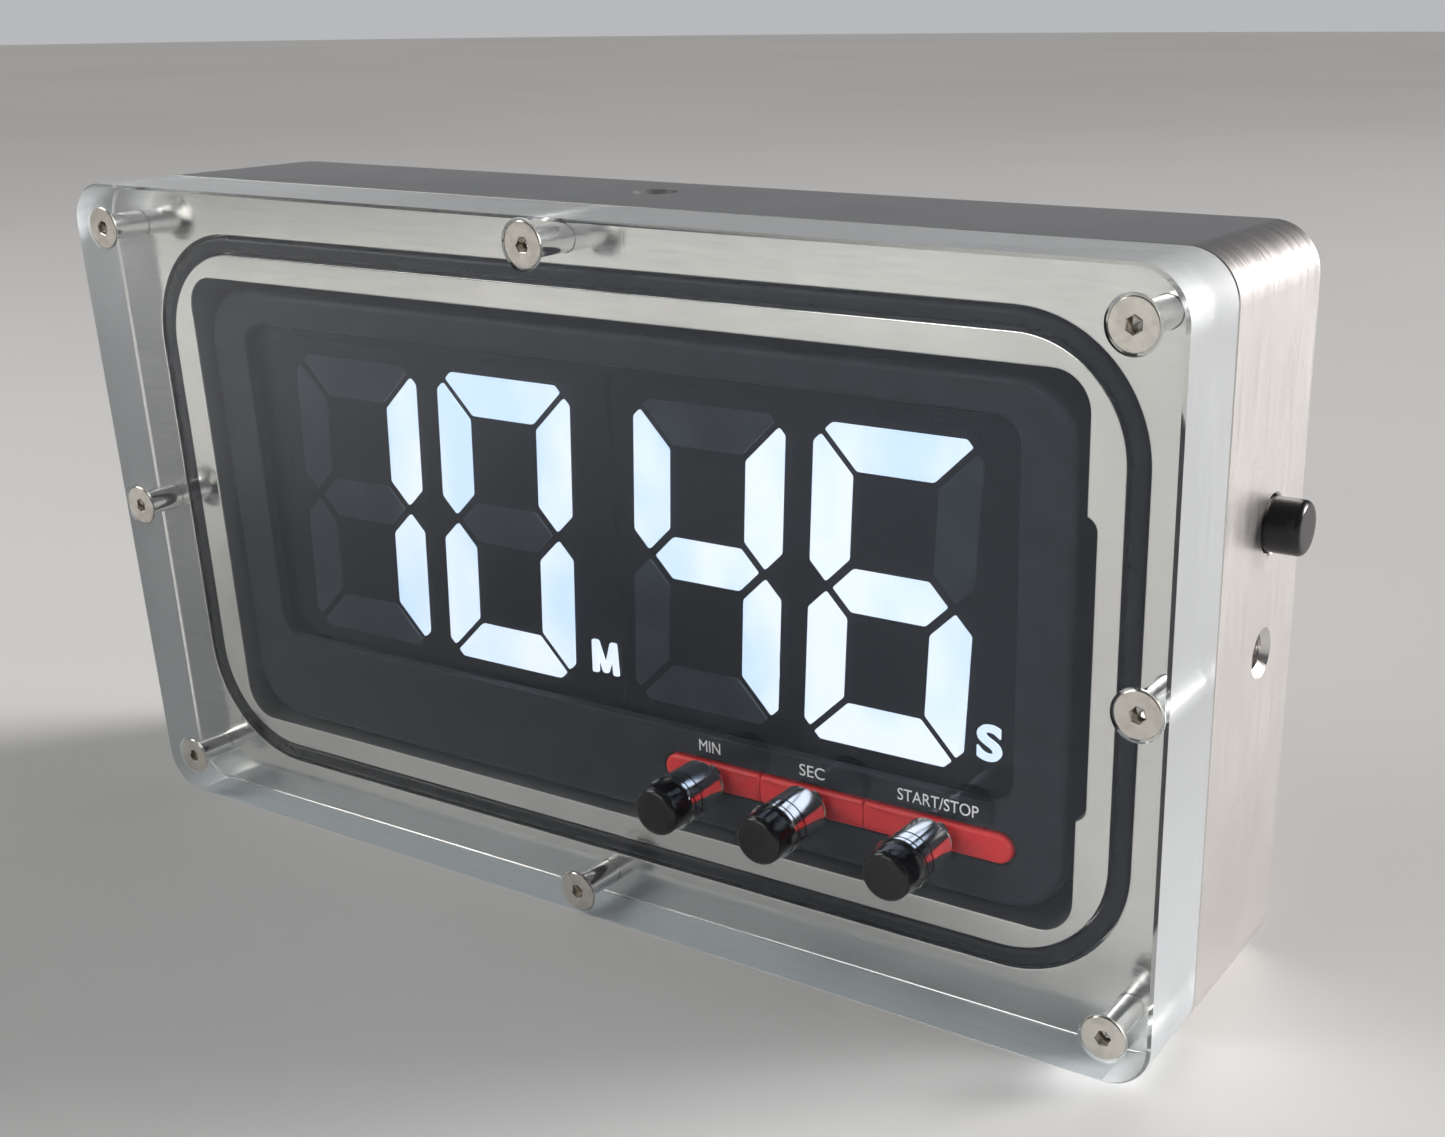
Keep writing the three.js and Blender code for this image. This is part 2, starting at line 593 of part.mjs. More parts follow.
function batteryContact(side) {
  const outer = BATTERY.length / 2 + CONTACT.gap;
  const x0 = BATTERY.x + side * outer;
  const x1 = x0 + side * CONTACT.thick;
  const half = CONTACT.height / 2;
  const plate = block(Math.min(x0, x1), Math.max(x0, x1), BATTERY.y - CONTACT.depth / 2,
    BATTERY.y + CONTACT.depth / 2, BATTERY.z - half, BATTERY.z + half);
  return solidOf(plate);
}

function buzzer() {
  const { x, z, radius, height, gap, holeR, holeDepth } = BUZZER;
  const front = BOARD.y + BOARD.thick + gap;
  const back = front + height;
  return cut(rod(radius, front, back, x, z), [rod(holeR, back - holeDepth, back + OVER, x, z, 8)]);
}

function timer() {
  const group = new THREE.Group();
  group.add(piece('timer_front_case', frontCase(), CASE_BLACK));
  group.add(piece('timer_rear_case', rearCase(), CASE_BLACK));
  group.add(piece('battery_cover', batteryCover(), CASE_BLACK));
  group.add(piece('display_lens', displayLens(), TINTED));
  group.add(piece('minutes_display', displayModule(MINUTES), DIGIT_WHITE));
  group.add(piece('seconds_display', displayModule(SECONDS), DIGIT_WHITE));
  group.add(piece('circuit_board', circuitBoard(), BOARD_GREEN));
  for (const [name, x] of Object.entries(FRONT_PLUNGERS)) {
    const local = x - TIMER.x;
    group.add(piece(`${name}_button`, buttonCap(name), RED_PLASTIC));
    group.add(piece(`${name}_switch`, switchBody(local), SWITCH_BLACK));
    group.add(piece(`${name}_switch_stem`, switchStem(local), SWITCH_BLACK));
  }
  group.add(piece('side_key', sideKey(), CASE_BLACK));
  group.add(piece('side_switch', sideSwitch(), SWITCH_BLACK));
  for (const i of [0, 1, 2]) {
    const cell = piece(`battery_${i + 1}`, battery(), CELL_SLEEVE);
    cell.rotation.z = i % 2 ? Math.PI / 2 : -Math.PI / 2;
    group.add(at(cell, BATTERY.x, BATTERY.y, BATTERY.z + (i - 1) * BATTERY.pitch));
  }
  group.add(piece('battery_contact_left', batteryContact(-1), NICKEL));
  group.add(piece('battery_contact_right', batteryContact(1), NICKEL));
  group.add(piece('buzzer', buzzer(), SWITCH_BLACK));
  bossSpots.forEach(([x, z], i) => {
    group.add(at(piece(`case_screw_${i + 1}`, caseScrew(), STAINLESS), x, 0, z));
  });
  return at(group, TIMER.x, TIMER.y, TIMER.z);
}

// ---- the whole object ---------------------------------------------------------------------

const countdownTimer = new THREE.Group();
countdownTimer.add(housing(), plungers(), timer());

export default countdownTimer;
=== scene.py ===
# %% [markdown]
# # A sealed count-down timer
# A large-digit timer sits in a milled aluminium housing behind a thick clear acrylic window.
# Three plungers go through the window and one through the right wall, and each presses a
# button of the timer inside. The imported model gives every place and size. Each piece here is
# modelled round it in finer detail, and every lesson cell says how.

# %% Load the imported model
import math
from contextlib import contextmanager

import bmesh
import bpy
from mathutils import Matrix, Vector


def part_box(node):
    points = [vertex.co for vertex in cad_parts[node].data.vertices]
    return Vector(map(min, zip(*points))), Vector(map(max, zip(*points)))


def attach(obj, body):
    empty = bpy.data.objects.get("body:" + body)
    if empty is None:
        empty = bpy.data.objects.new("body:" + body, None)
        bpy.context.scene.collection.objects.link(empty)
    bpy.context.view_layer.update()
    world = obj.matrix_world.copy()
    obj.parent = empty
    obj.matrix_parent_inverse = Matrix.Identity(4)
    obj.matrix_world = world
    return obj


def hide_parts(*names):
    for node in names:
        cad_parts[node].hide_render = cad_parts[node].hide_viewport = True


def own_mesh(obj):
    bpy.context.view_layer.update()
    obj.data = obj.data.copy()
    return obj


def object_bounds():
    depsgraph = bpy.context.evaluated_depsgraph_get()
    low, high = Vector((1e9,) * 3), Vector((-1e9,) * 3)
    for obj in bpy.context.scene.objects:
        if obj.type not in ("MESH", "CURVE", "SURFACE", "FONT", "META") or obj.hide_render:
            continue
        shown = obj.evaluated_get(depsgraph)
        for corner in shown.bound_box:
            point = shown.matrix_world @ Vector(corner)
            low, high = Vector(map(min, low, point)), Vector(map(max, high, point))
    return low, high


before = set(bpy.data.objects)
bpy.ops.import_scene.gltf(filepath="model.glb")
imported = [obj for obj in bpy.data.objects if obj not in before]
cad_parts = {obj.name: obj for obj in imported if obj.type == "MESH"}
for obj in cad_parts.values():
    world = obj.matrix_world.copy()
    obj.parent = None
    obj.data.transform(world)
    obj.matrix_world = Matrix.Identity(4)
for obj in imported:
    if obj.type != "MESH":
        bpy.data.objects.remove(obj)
cad_low, cad_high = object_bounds()
MM = 0.001
print("the object measures", [round(side / MM, 1) for side in cad_high - cad_low], "mm")

# %% [markdown]
# ## Tools of the bench
# An operator works on whatever is selected, so each helper first makes its piece the only
# selected one. In edit mode, corners, edges and faces are then chosen by a test of their
# place or direction, which keeps the script readable when the piece changes size.


# %% Select, place and name
def only(piece):
    bpy.ops.object.select_all(action="DESELECT")
    piece.select_set(True)
    bpy.context.view_layer.objects.active = piece


@contextmanager
def edit(piece):
    only(piece)
    bpy.ops.object.mode_set(mode="EDIT")
    yield
    bpy.ops.object.mode_set(mode="OBJECT")


def choose(kind, test):
    """In edit mode, selects only the corners, edges or faces that pass the test."""
    bpy.ops.mesh.select_mode(type=kind)
    bpy.ops.mesh.select_all(action="DESELECT")
    shape = bmesh.from_edit_mesh(bpy.context.object.data)
    parts = {"VERT": shape.verts, "EDGE": shape.edges, "FACE": shape.faces}[kind]
    for part in parts:
        if test(part):
            part.select_set(True)
    shape.select_flush_mode()
    bmesh.update_edit_mesh(bpy.context.object.data)


def settle(piece, place=(0, 0, 0), turn=0.0, about="Z"):
    """Turns a piece about the origin, moves it into place, and puts that into its mesh."""
    size = Matrix.Diagonal((*piece.scale, 1))
    here = Matrix.Translation(piece.location) @ piece.rotation_euler.to_matrix().to_4x4() @ size
    piece.matrix_world = Matrix.Translation(place) @ Matrix.Rotation(turn, 4, about) @ here
    only(piece)
    bpy.ops.object.transform_apply(location=True, rotation=True, scale=True)
    return piece


def copy_of(piece, name):
    twin = piece.copy()
    twin.data = piece.data.copy()
    twin.name = name
    bpy.context.scene.collection.objects.link(twin)
    return twin


def join(name, pieces):
    bpy.ops.object.select_all(action="DESELECT")
    for piece in pieces:
        piece.select_set(True)
    bpy.context.view_layer.objects.active = pieces[0]
    if len(pieces) > 1:
        bpy.ops.object.join()
    pieces[0].name = name
    return pieces[0]


def face_outwards():
    """In edit mode, turns every face of the piece outwards."""
    bpy.ops.mesh.select_all(action="SELECT")
    bpy.ops.mesh.normals_make_consistent(inside=False)


def apply(piece, kind, **settings):
    only(piece)
    modifier = piece.modifiers.new(kind.lower(), kind)
    for setting, value in settings.items():
        setattr(modifier, setting, value)
    bpy.ops.object.modifier_apply(modifier=modifier.name)


# %% [markdown]
# ## Three ways to start a piece
# Nearly everything here was milled, turned or cut out of a sheet. A milled block is a cube
# whose corner edges are rounded by the bevel operator. A turned piece is a disc that is
# extruded and resized step by step, as a lathe tool would leave it. A hole is the shape of
# its cutter, taken away with a boolean.


# %% Milled blocks
HAIR = 0.001 * MM  # two places nearer than this are the same place


def block(name, low, high):
    low, high = Vector(low), Vector(high)
    bpy.ops.mesh.primitive_cube_add(size=1, location=(low + high) / 2)
    piece = bpy.context.object
    piece.name = name
    piece.scale = high - low
    return settle(piece)


def runs_along(edge, axis):
    span = edge.verts[1].co - edge.verts[0].co
    return abs(span[axis]) > 0.99 * span.length


def bevel_edges(piece, test, width, steps=2):
    with edit(piece):
        choose("EDGE", test)
        bpy.ops.mesh.bevel(offset=width, segments=steps, affect="EDGES")


def rounded_block(name, low, high, radius, steps=12, axis=1):
    piece = block(name, low, high)
    bevel_edges(piece, lambda edge: runs_along(edge, axis), radius, steps)
    return piece


def level(edge, axis, value):
    """True if both ends of the edge lie in the plane where that axis has that value."""
    return all(abs(corner.co[axis] - value) < HAIR for corner in edge.verts)


# %% Turned bars and cutters
def pull(y):
    """In edit mode, extrudes what is selected along the Y axis, by millimetres."""
    bpy.ops.mesh.extrude_region_move(TRANSFORM_OT_translate={"value": (0, y * MM, 0)})


def turned(name, stations, sides=48):
    """A bar turned about the Y axis, from (radius, y) stations in millimetres."""
    radius, y = stations[0]
    bpy.ops.mesh.primitive_circle_add(vertices=sides, radius=radius * MM, fill_type="NGON",
                                      location=(0, y * MM, 0), rotation=(math.pi / 2, 0, 0))
    piece = bpy.context.object
    piece.name = name
    settle(piece)
    with edit(piece):
        bpy.ops.mesh.select_all(action="SELECT")
        for next_radius, next_y in stations[1:]:
            pull(next_y - y)
            grow = next_radius / radius
            bpy.ops.transform.resize(value=(grow, 1, grow), center_override=(0, next_y * MM, 0))
            radius, y = next_radius, next_y
        face_outwards()
    return piece


def carve(piece, *cutters, how="DIFFERENCE"):
    tool = join("cutter", list(cutters))
    apply(piece, "BOOLEAN", operation=how, solver="EXACT", object=tool)
    bpy.data.objects.remove(tool)
    return piece


# %% [markdown]
# ## Smooth shading
# Round stretches are shaded smooth and edges above 30 degrees stay sharp. A large flat face
# beside a rounded corner would pick up a false gradient, so the Weighted Normal modifier
# then lets the largest face decide the direction at each corner.


# %% Shade, count and hand over a piece
def shade(piece, angle=30):
    only(piece)
    bpy.ops.object.shade_smooth_by_angle(angle=math.radians(angle))
    apply(piece, "WEIGHTED_NORMAL", keep_sharp=True)


def paint(piece, main, *others):
    """Gives a piece its main material, and others to the faces that pass their tests."""
    piece.data.materials.clear()
    for material in (main, *(extra for extra, _ in others)):
        piece.data.materials.append(material)
    for face in piece.data.polygons:
        face.material_index = next((i + 1 for i, (_, test) in enumerate(others) if test(face)), 0)


def hand_over(piece, body, slot, *nodes, angle=30):
    shade(piece, angle)
    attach(piece, body)
    if nodes:
        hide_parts(*nodes)
    shape = bmesh.new()
    shape.from_mesh(piece.data)
    open_edges = sum(not edge.is_manifold for edge in shape.edges)
    inside_out = shape.calc_volume(signed=True) < 0
    shape.free()
    print(f"{piece.name}: {len(piece.data.polygons)} faces, {open_edges} open edges,"
          f" {'INSIDE OUT' if inside_out else 'faces outwards'}")


# %% [markdown]
# ## Materials
# A helper makes a material with one Principled shader. What is the same all over a piece is
# set on the shader's own sockets. What changes over the surface comes from node groups that
# read the piece's Object coordinates, so a pattern keeps its real scale in millimetres.


# %% Make a material and wire its nodes
def fill(node, **values):
    """Sets the sockets of a node. In a socket's name, a space is written as an underscore."""
    for socket, value in values.items():
        node.inputs[socket.replace("_", " ")].default_value = value
    return node


class Finish:
    """A material being made: its nodes, its Principled shader and its Object coordinates."""

    def __init__(self, name, color, roughness, metallic=0.0, **sockets):
        self.material = bpy.data.materials.new(name)
        self.material.use_nodes = True
        self.tree = self.material.node_tree
        self.shader = self.tree.nodes["Principled BSDF"]
        self.output = self.tree.nodes["Material Output"]
        self.place = self.node("ShaderNodeTexCoord").outputs["Object"]
        fill(self.shader, Base_Color=(*color, 1), Roughness=roughness, Metallic=metallic, **sockets)

    def node(self, kind, **values):
        return fill(self.tree.nodes.new(kind), **values)

    def link(self, source, target):
        self.tree.links.new(source, target)

    def stretched(self, x, y, z, turn=0.0):
        """Object coordinates with so many pattern units to a metre along each axis."""
        mapping = self.node("ShaderNodeMapping", Scale=(x, y, z), Rotation=(0, turn, 0))
        self.link(self.place, mapping.inputs["Vector"])
        return mapping.outputs["Vector"]

    def effect(self, group, vector, **values):
        made = self.node("ShaderNodeGroup")
        made.node_tree = group
        fill(made, **values)
        self.link(vector, made.inputs["Vector"])
        return made.outputs["Value"]

    def vary(self, socket, value, low, high):
        """Drives a shader socket from low to high as value goes from 0 to 1."""
        ramp = self.node("ShaderNodeMapRange", To_Min=low, To_Max=high)
        self.link(value, ramp.inputs["Value"])
        self.link(ramp.outputs["Result"], self.shader.inputs[socket])

    def tint(self, value, first, second, socket="Base Color"):
        """Drives a colour socket from first to second as value goes from 0 to 1."""
        mix = self.node("ShaderNodeMix")
        mix.data_type = "RGBA"
        fraction, *_, start, end = mix.inputs[:8]
        start.default_value = (*first, 1)
        end.default_value = (*second, 1)
        self.link(value, fraction)
        self.link(mix.outputs[2], self.shader.inputs[socket])

    def relief(self, value, strength, depth):
        """Raises the surface by value times depth, in metres."""
        bump = self.node("ShaderNodeBump", Strength=strength, Distance=depth)
        self.link(value, bump.inputs["Height"])
        self.link(bump.outputs["Normal"], self.shader.inputs["Normal"])

    def lets_lamps_through(self, shadow):
        """Lamps shine straight through, so what is behind the clear plastic is lit cleanly."""
        path = self.node("ShaderNodeLightPath")
        clear = self.node("ShaderNodeBsdfTransparent", Color=(*shadow, 1))
        mix = self.node("ShaderNodeMixShader")
        self.link(path.outputs["Is Shadow Ray"], mix.inputs["Fac"])
        self.link(self.shader.outputs["BSDF"], mix.inputs[1])
        self.link(clear.outputs["BSDF"], mix.inputs[2])
        self.link(mix.outputs["Shader"], self.output.inputs["Surface"])


# %% [markdown]
# ## Shared effects
# Some effects turn up on many pieces, so each is a node group of its own. All of them start
# from a noise whose middle values are stretched to a full range from 0 to 1. A group only
# puts out values. The material that uses it decides what they change.


# %% Nodes inside a group
def effect_group(name, *inputs):
    group = bpy.data.node_groups.new(name, "ShaderNodeTree")
    group.interface.new_socket("Vector", in_out="INPUT", socket_type="NodeSocketVector")
    for label, value in inputs:
        socket = group.interface.new_socket(label, in_out="INPUT", socket_type="NodeSocketFloat")
        socket.default_value = value
    group.interface.new_socket("Value", in_out="OUTPUT", socket_type="NodeSocketFloat")
    return group, group.nodes.new("NodeGroupInput").outputs, group.nodes.new("NodeGroupOutput").inputs


def plug(tree, source, socket):
    """Feeds a socket from another node, or sets its number."""
    if isinstance(source, bpy.types.NodeSocket):
        tree.links.new(source, socket)
    else:
        socket.default_value = source


def noise_in(group, vector, scale, detail):
    noise = fill(group.nodes.new("ShaderNodeTexNoise"), Scale=scale, Detail=detail)
    group.links.new(vector, noise.inputs["Vector"])
    return noise.outputs["Fac"]


def range_in(group, value, low, high):
    span = group.nodes.new("ShaderNodeMapRange")
    for source, socket in ((value, "Value"), (low, "From Min"), (high, "From Max")):
        plug(group, source, span.inputs[socket])
    return span.outputs["Result"]


def calculate(tree, operation, *terms, clamped=False):
    made = tree.nodes.new("ShaderNodeMath")
    made.operation = operation
    made.use_clamp = clamped
    for term, socket in zip(terms, made.inputs):
        plug(tree, term, socket)
    return made.outputs["Value"]


# %% [markdown]
# Fine grain and soft smudges are one noise each, and differ in how sharply it is stretched.
# Thin scratches are two noises drawn out into lines at two angles, of which only the peaks
# are kept. Dried drops leave thin curly outlines: they are drawn where a noise crosses one
# level, and a second, wider noise keeps them to a few spots.


# %% Grain and smudges, scratches and stains
def noise_group(name, detail, low, high):
    group, start, end = effect_group(name)
    noise = noise_in(group, start["Vector"], 1.0, detail)
    group.links.new(range_in(group, noise, low, high), end["Value"])
    return group


def make_scratches():
    group, start, end = effect_group("thin_scratches", ("Sparse", 0.72))
    marks = []
    for turn in (0.35, -0.8):
        long = fill(group.nodes.new("ShaderNodeMapping"), Rotation=(0, turn, 0), Scale=(1, 1, 0.02))
        group.links.new(start["Vector"], long.inputs["Vector"])
        streak = noise_in(group, long.outputs["Vector"], 1.0, 2.0)
        marks.append(range_in(group, streak, start["Sparse"], 0.8))
    group.links.new(calculate(group, "MAXIMUM", *marks), end["Value"])
    return group


def make_stains():
    group, start, end = effect_group("dried_stains", ("Width", 0.016))
    curls = noise_in(group, start["Vector"], 4.0, 2.0)
    outline = calculate(group, "COMPARE", curls, 0.5, start["Width"])
    spots = range_in(group, noise_in(group, start["Vector"], 0.6, 1.0), 0.52, 0.62)
    group.links.new(calculate(group, "MULTIPLY", outline, spots), end["Value"])
    return group


grain = noise_group("fine_grain", 5.0, 0.3, 0.7)
smudges = noise_group("soft_smudges", 3.0, 0.42, 0.62)
scratches, stains = make_scratches(), make_stains()
print("effects:", [group.name for group in (grain, smudges, scratches, stains)])

# %% [markdown]
# ## Metals
# The milling cutter ran round the outline of the housing, so its grain is a noise stretched
# along the outline: it changes fast from front to back only. The top and bottom use a darker,
# bluer colour, a painted reflection of dark surroundings. The flange under the window is finer
# and shines like a dull mirror, with hair scratches. The pocket inside is duller, and its
# colour is darker as painted shade in the recess. The screws, clips and springs are turned or
# drawn, so their grain runs in rings.

# %% Aluminium
SCRATCHES_PER_M, SMUDGES_PER_M, STAINS_PER_M = (900, 900, 900), (30, 30, 30), (110, 110, 70)
WORN = 0.91  # how much darker the metal is under a smudge or a stain


def darker(color, share):
    return tuple(channel * share for channel in color)


def aluminium(name, color, low, high, grain_per_m, sparse, stained=0.0):
    """Roughness goes from low to high with the grain; stained is how strongly the drops show."""
    made = Finish(name, color, low, metallic=1.0)
    brushed = made.effect(grain, made.stretched(*grain_per_m))
    made.vary("Roughness", brushed, low, high)
    marks = made.effect(scratches, made.stretched(*SCRATCHES_PER_M), Sparse=sparse)
    dull = made.effect(smudges, made.stretched(*SMUDGES_PER_M))
    drops = made.effect(stains, made.stretched(*STAINS_PER_M))
    worn = calculate(made.tree, "MULTIPLY_ADD", drops, stained, dull, clamped=True)
    made.tint(worn, color, darker(color, WORN))
    made.relief(calculate(made.tree, "SUBTRACT", brushed, marks), 0.16, 0.00003)
    return made.material


AROUND, FLAT_BACK = (60, 2400, 60), (30, 60, 2400)
BRUSHED = aluminium("brushed_aluminium", (0.80, 0.775, 0.76), 0.28, 0.38, AROUND, 0.7, 0.8)
# The top and bottom: the same grain, with a darker, bluer colour as a painted reflection.
TOP_BRUSHED_PAINTED_REFLECTION = aluminium("brushed_top_aluminium_painted_reflection", (0.74, 0.745, 0.76), 0.26, 0.40, AROUND, 0.7, 0.4)
FACED = aluminium("faced_back_aluminium", (0.78, 0.775, 0.765), 0.26, 0.42, FLAT_BACK, 0.7, 0.5)
FLANGE = aluminium("flange_aluminium", (0.8, 0.79, 0.76), 0.13, 0.24, (160, 160, 1500), 0.68)
# The pocket: its darker colour is painted shade for the recess.
MILLED_PAINTED_SHADE = aluminium("milled_pocket_aluminium_painted_shade", (0.5, 0.5, 0.5), 0.32, 0.5, (300, 2500, 300), 0.75)


# %% A plain finish, and turned steel
def plain_finish(name, color, worn_color, low, high, fine, wide, relief, metallic=0.0, **sockets):
    """Fine grain in the gloss and the relief, and wide smudges in the colour."""
    made = Finish(name, color, low, metallic, **sockets)
    skin = made.effect(grain, made.stretched(*fine))
    made.vary("Roughness", skin, low, high)
    made.tint(made.effect(smudges, made.stretched(wide, wide, wide)), color, worn_color)
    made.relief(skin, *relief)
    return made.material


def turned_steel(name, color, low, high):
    return plain_finish(name, color, darker(color, 0.82), low, high, (1500, 9000, 1500), 500,
                        (0.2, 0.00001), metallic=1.0)


STAINLESS = turned_steel("stainless_steel", (0.72, 0.69, 0.63), 0.14, 0.26)
NICKEL = turned_steel("nickel_plate", (0.66, 0.62, 0.54), 0.18, 0.3)
ZINC = turned_steel("zinc_plate", (0.45, 0.45, 0.46), 0.3, 0.45)

# %% [markdown]
# ## Clear acrylic and smoked plastic
# The window is real refracting plastic, with an index of refraction of 1.49. Its two faces are
# polished. Its edges are milled, so they scatter light and show faint cutter lines. Lamps
# would be blocked by refraction, so the material lets them pass for shadows only. A darker
# specular tint keeps the glare of the studio off the display behind it.


# %% Four clear plastics
def clear_plastic(name, tint, roughness, shadow, ior=1.49, glare=(1, 1, 1), clearness=1.0):
    made = Finish(name, tint, roughness, IOR=ior, Transmission_Weight=clearness,
                  Specular_Tint=(*glare, 1))
    made.lets_lamps_through(shadow)
    return made


def polished_acrylic():
    made = clear_plastic("polished_acrylic", (0.985, 0.995, 1.0), 0.0, (0.93, 0.95, 0.96),
                         glare=(0.5, 0.55, 0.65))
    marks = made.effect(scratches, made.stretched(420, 420, 420), Sparse=0.76)
    made.relief(marks, 0.25, 0.00001)
    return made.material


def sawn_acrylic():
    made = clear_plastic("milled_acrylic_edge", (0.90, 0.94, 0.97), 0.5, (0.85, 0.88, 0.9),
                         clearness=0.6)
    lines = made.effect(grain, made.stretched(60, 2200, 60))
    made.vary("Roughness", lines, 0.4, 0.6)
    made.relief(lines, 0.1, 0.00004)
    return made.material


def bored_acrylic():
    made = clear_plastic("bored_acrylic", (0.96, 0.98, 0.99), 0.14, (0.9, 0.92, 0.93))
    rings = made.effect(grain, made.stretched(300, 6000, 300))
    made.relief(rings, 0.12, 0.00001)
    return made.material


def smoked_plastic():
    smoke = (0.30, 0.33, 0.39)
    made = clear_plastic("smoked_lens", smoke, 0.02, smoke, ior=1.25, glare=(0.6, 0.65, 0.75))
    haze = made.effect(smudges, made.stretched(60, 60, 60))
    made.relief(haze, 0.05, 0.00002)
    return made.material


ACRYLIC, SAWN, BORED, SMOKED = polished_acrylic(), sawn_acrylic(), bored_acrylic(), smoked_plastic()

# %% [markdown]
# ## Black rubber and plastics
# They differ in how fine their grain is and in how much they shine. Dust and handling make a
# black paler in wide soft patches. Most are given little specular light, because they are
# seen through the window, where a second reflection would only grey them.


# %% Rubber, turned acetal and moulded black
def soft_black(name, color, low, high, fine, strength=0.25, shine=0.2):
    dusty = tuple(channel * 1.35 + 0.002 for channel in color)
    return plain_finish(name, color, dusty, low, high, (fine, fine, fine), fine / 12,
                        (strength, 0.00003), Specular_IOR_Level=shine)


RUBBER = soft_black("nitrile_rubber", (0.006, 0.006, 0.007), 0.26, 0.36, 900, 0.1)
ACETAL = soft_black("black_acetal", (0.010, 0.010, 0.012), 0.18, 0.26, 1600, 0.03, shine=0.5)
CASE = soft_black("case_black", (0.012, 0.014, 0.018), 0.42, 0.54, 2600, 0.05)
MOULDED = soft_black("moulded_black", (0.018, 0.018, 0.02), 0.4, 0.55, 2200)

# %% [markdown]
# ## Red buttons, white print, board and cells
# The buttons are satin moulded plastic with a very fine grain. The print is a thin white ink
# with a slightly uneven tone. The circuit board shows faint tracks under its green mask,
# drawn along the borders of a Voronoi pattern. The sleeve of a cell has a copper band.


# %% Plastics, print, board and sleeves
def satin_plastic(name, color, low, high):
    faded = tuple(min(1, channel * 1.12 + 0.004) for channel in color)
    return plain_finish(name, color, faded, low, high, (3000, 3000, 3000), 160, (0.2, 0.00002))


def printed_board():
    made = Finish("green_board", (0.012, 0.085, 0.04), 0.3, Coat_Weight=0.4)
    tracks = made.node("ShaderNodeTexVoronoi", Scale=1.0)
    tracks.distance = "MANHATTAN"
    tracks.feature = "DISTANCE_TO_EDGE"
    made.link(made.stretched(260, 260, 260), tracks.inputs["Vector"])
    line = made.node("ShaderNodeMapRange", From_Min=0.05, From_Max=0.09)
    made.link(tracks.outputs["Distance"], line.inputs["Value"])
    made.tint(line.outputs["Result"], (0.02, 0.16, 0.075), (0.008, 0.07, 0.034))
    made.relief(line.outputs["Result"], 0.4, 0.00004)
    return made.material


def cell_sleeve():
    dark, copper = (0.03, 0.035, 0.045), (0.35, 0.22, 0.06)
    made = Finish("cell_sleeve", dark, 0.28, metallic=0.3)
    apart = made.node("ShaderNodeSeparateXYZ")
    made.link(made.place, apart.inputs["Vector"])
    band = made.node("ShaderNodeMapRange", From_Min=-0.0028, From_Max=-0.0027)
    made.link(apart.outputs["X"], band.inputs["Value"])
    made.tint(band.outputs["Result"], dark, copper)
    skin = made.effect(grain, made.stretched(1200, 1200, 1200))
    made.vary("Roughness", skin, 0.22, 0.34)
    return made.material


RED = satin_plastic("satin_red", (0.72, 0.014, 0.016), 0.36, 0.48)
PRINT = satin_plastic("white_print", (0.92, 0.92, 0.9), 0.5, 0.6)
BOARD, SLEEVE = printed_board(), cell_sleeve()

# %% [markdown]
# ## Lit and unlit bars
# A lit bar glows white, with soft bluish patches, because its milky plastic never spreads the
# light quite evenly. An unlit bar is the same plastic with no light behind it, so it is a
# dark grey that only just shows through the smoked lens.


# %% The glow of the display
def lit_bar():
    made = Finish("lit_bar", (0.5, 0.55, 0.6), 0.4, Emission_Strength=3.0)
    patches = made.effect(smudges, made.stretched(70, 70, 40))
    made.tint(patches, (1.0, 1.0, 1.0), (0.74, 0.87, 1.0), "Emission Color")
    return made.material


LIT = lit_bar()
UNLIT = soft_black("unlit_bar", (0.34, 0.355, 0.33), 0.4, 0.5, 1500, 0.1)
MODULE = soft_black("display_face", (0.010, 0.011, 0.014), 0.45, 0.6, 2600, 0.04)
print("materials:", len(bpy.data.materials))

# %% [markdown]
# ## The housing
# It starts as one block of aluminium. Its four long corners are rounded, and its front and
# back edges are broken by a small chamfer, as a deburring tool leaves them. The pocket and
# the seal's groove are milled out of the front, and then the holes are bored. Their mouths
# get chamfers of their own, which catch the light as thin bright lines.

# %% Milled block, pocket and groove
body_low, body_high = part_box("housing_body")
window_low, window_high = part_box("front_window")
FLANGE_Y, MIDDLE_Z = body_low.y, (body_low.z + body_high.z) / 2
CORNER = 7 * MM
POCKET = {"half": (83.5 * MM, 39.9 * MM), "radius": 5.5 * MM, "floor": FLANGE_Y + 27.2 * MM}
GROOVE = {"half": (92 * MM, 47.3 * MM), "radius": 19.5 * MM, "across": 3.2 * MM, "depth": 2.4 * MM}
RELIEF = {"x": 85 * MM, "low": -24 * MM, "high": 23.6 * MM, "ramp": 3 * MM}
PAST = 1 * MM  # how far a cutter runs past the face it enters
HALF_X, HALF_Z = body_high.x, (body_high.z - body_low.z) / 2


def is_outer_edge(y):
    """A test for the edges in the plane at y that run round the outside of a plain block."""
    return lambda edge: level(edge, 1, y)


def rounded_frame(name, half, radius, across, front, back):
    """A flat ring with rounded corners: a rounded plate, its face inset, and its middle removed."""
    plate = rounded_block(name, (-half[0], front, MIDDLE_Z - half[1]),
                          (half[0], back, MIDDLE_Z + half[1]), radius, 24)
    with edit(plate):
        choose("FACE", lambda face: abs(face.normal.y) > 0.9)
        bpy.ops.mesh.inset(thickness=across)
        bpy.ops.mesh.bridge_edge_loops()
        face_outwards()
    return plate


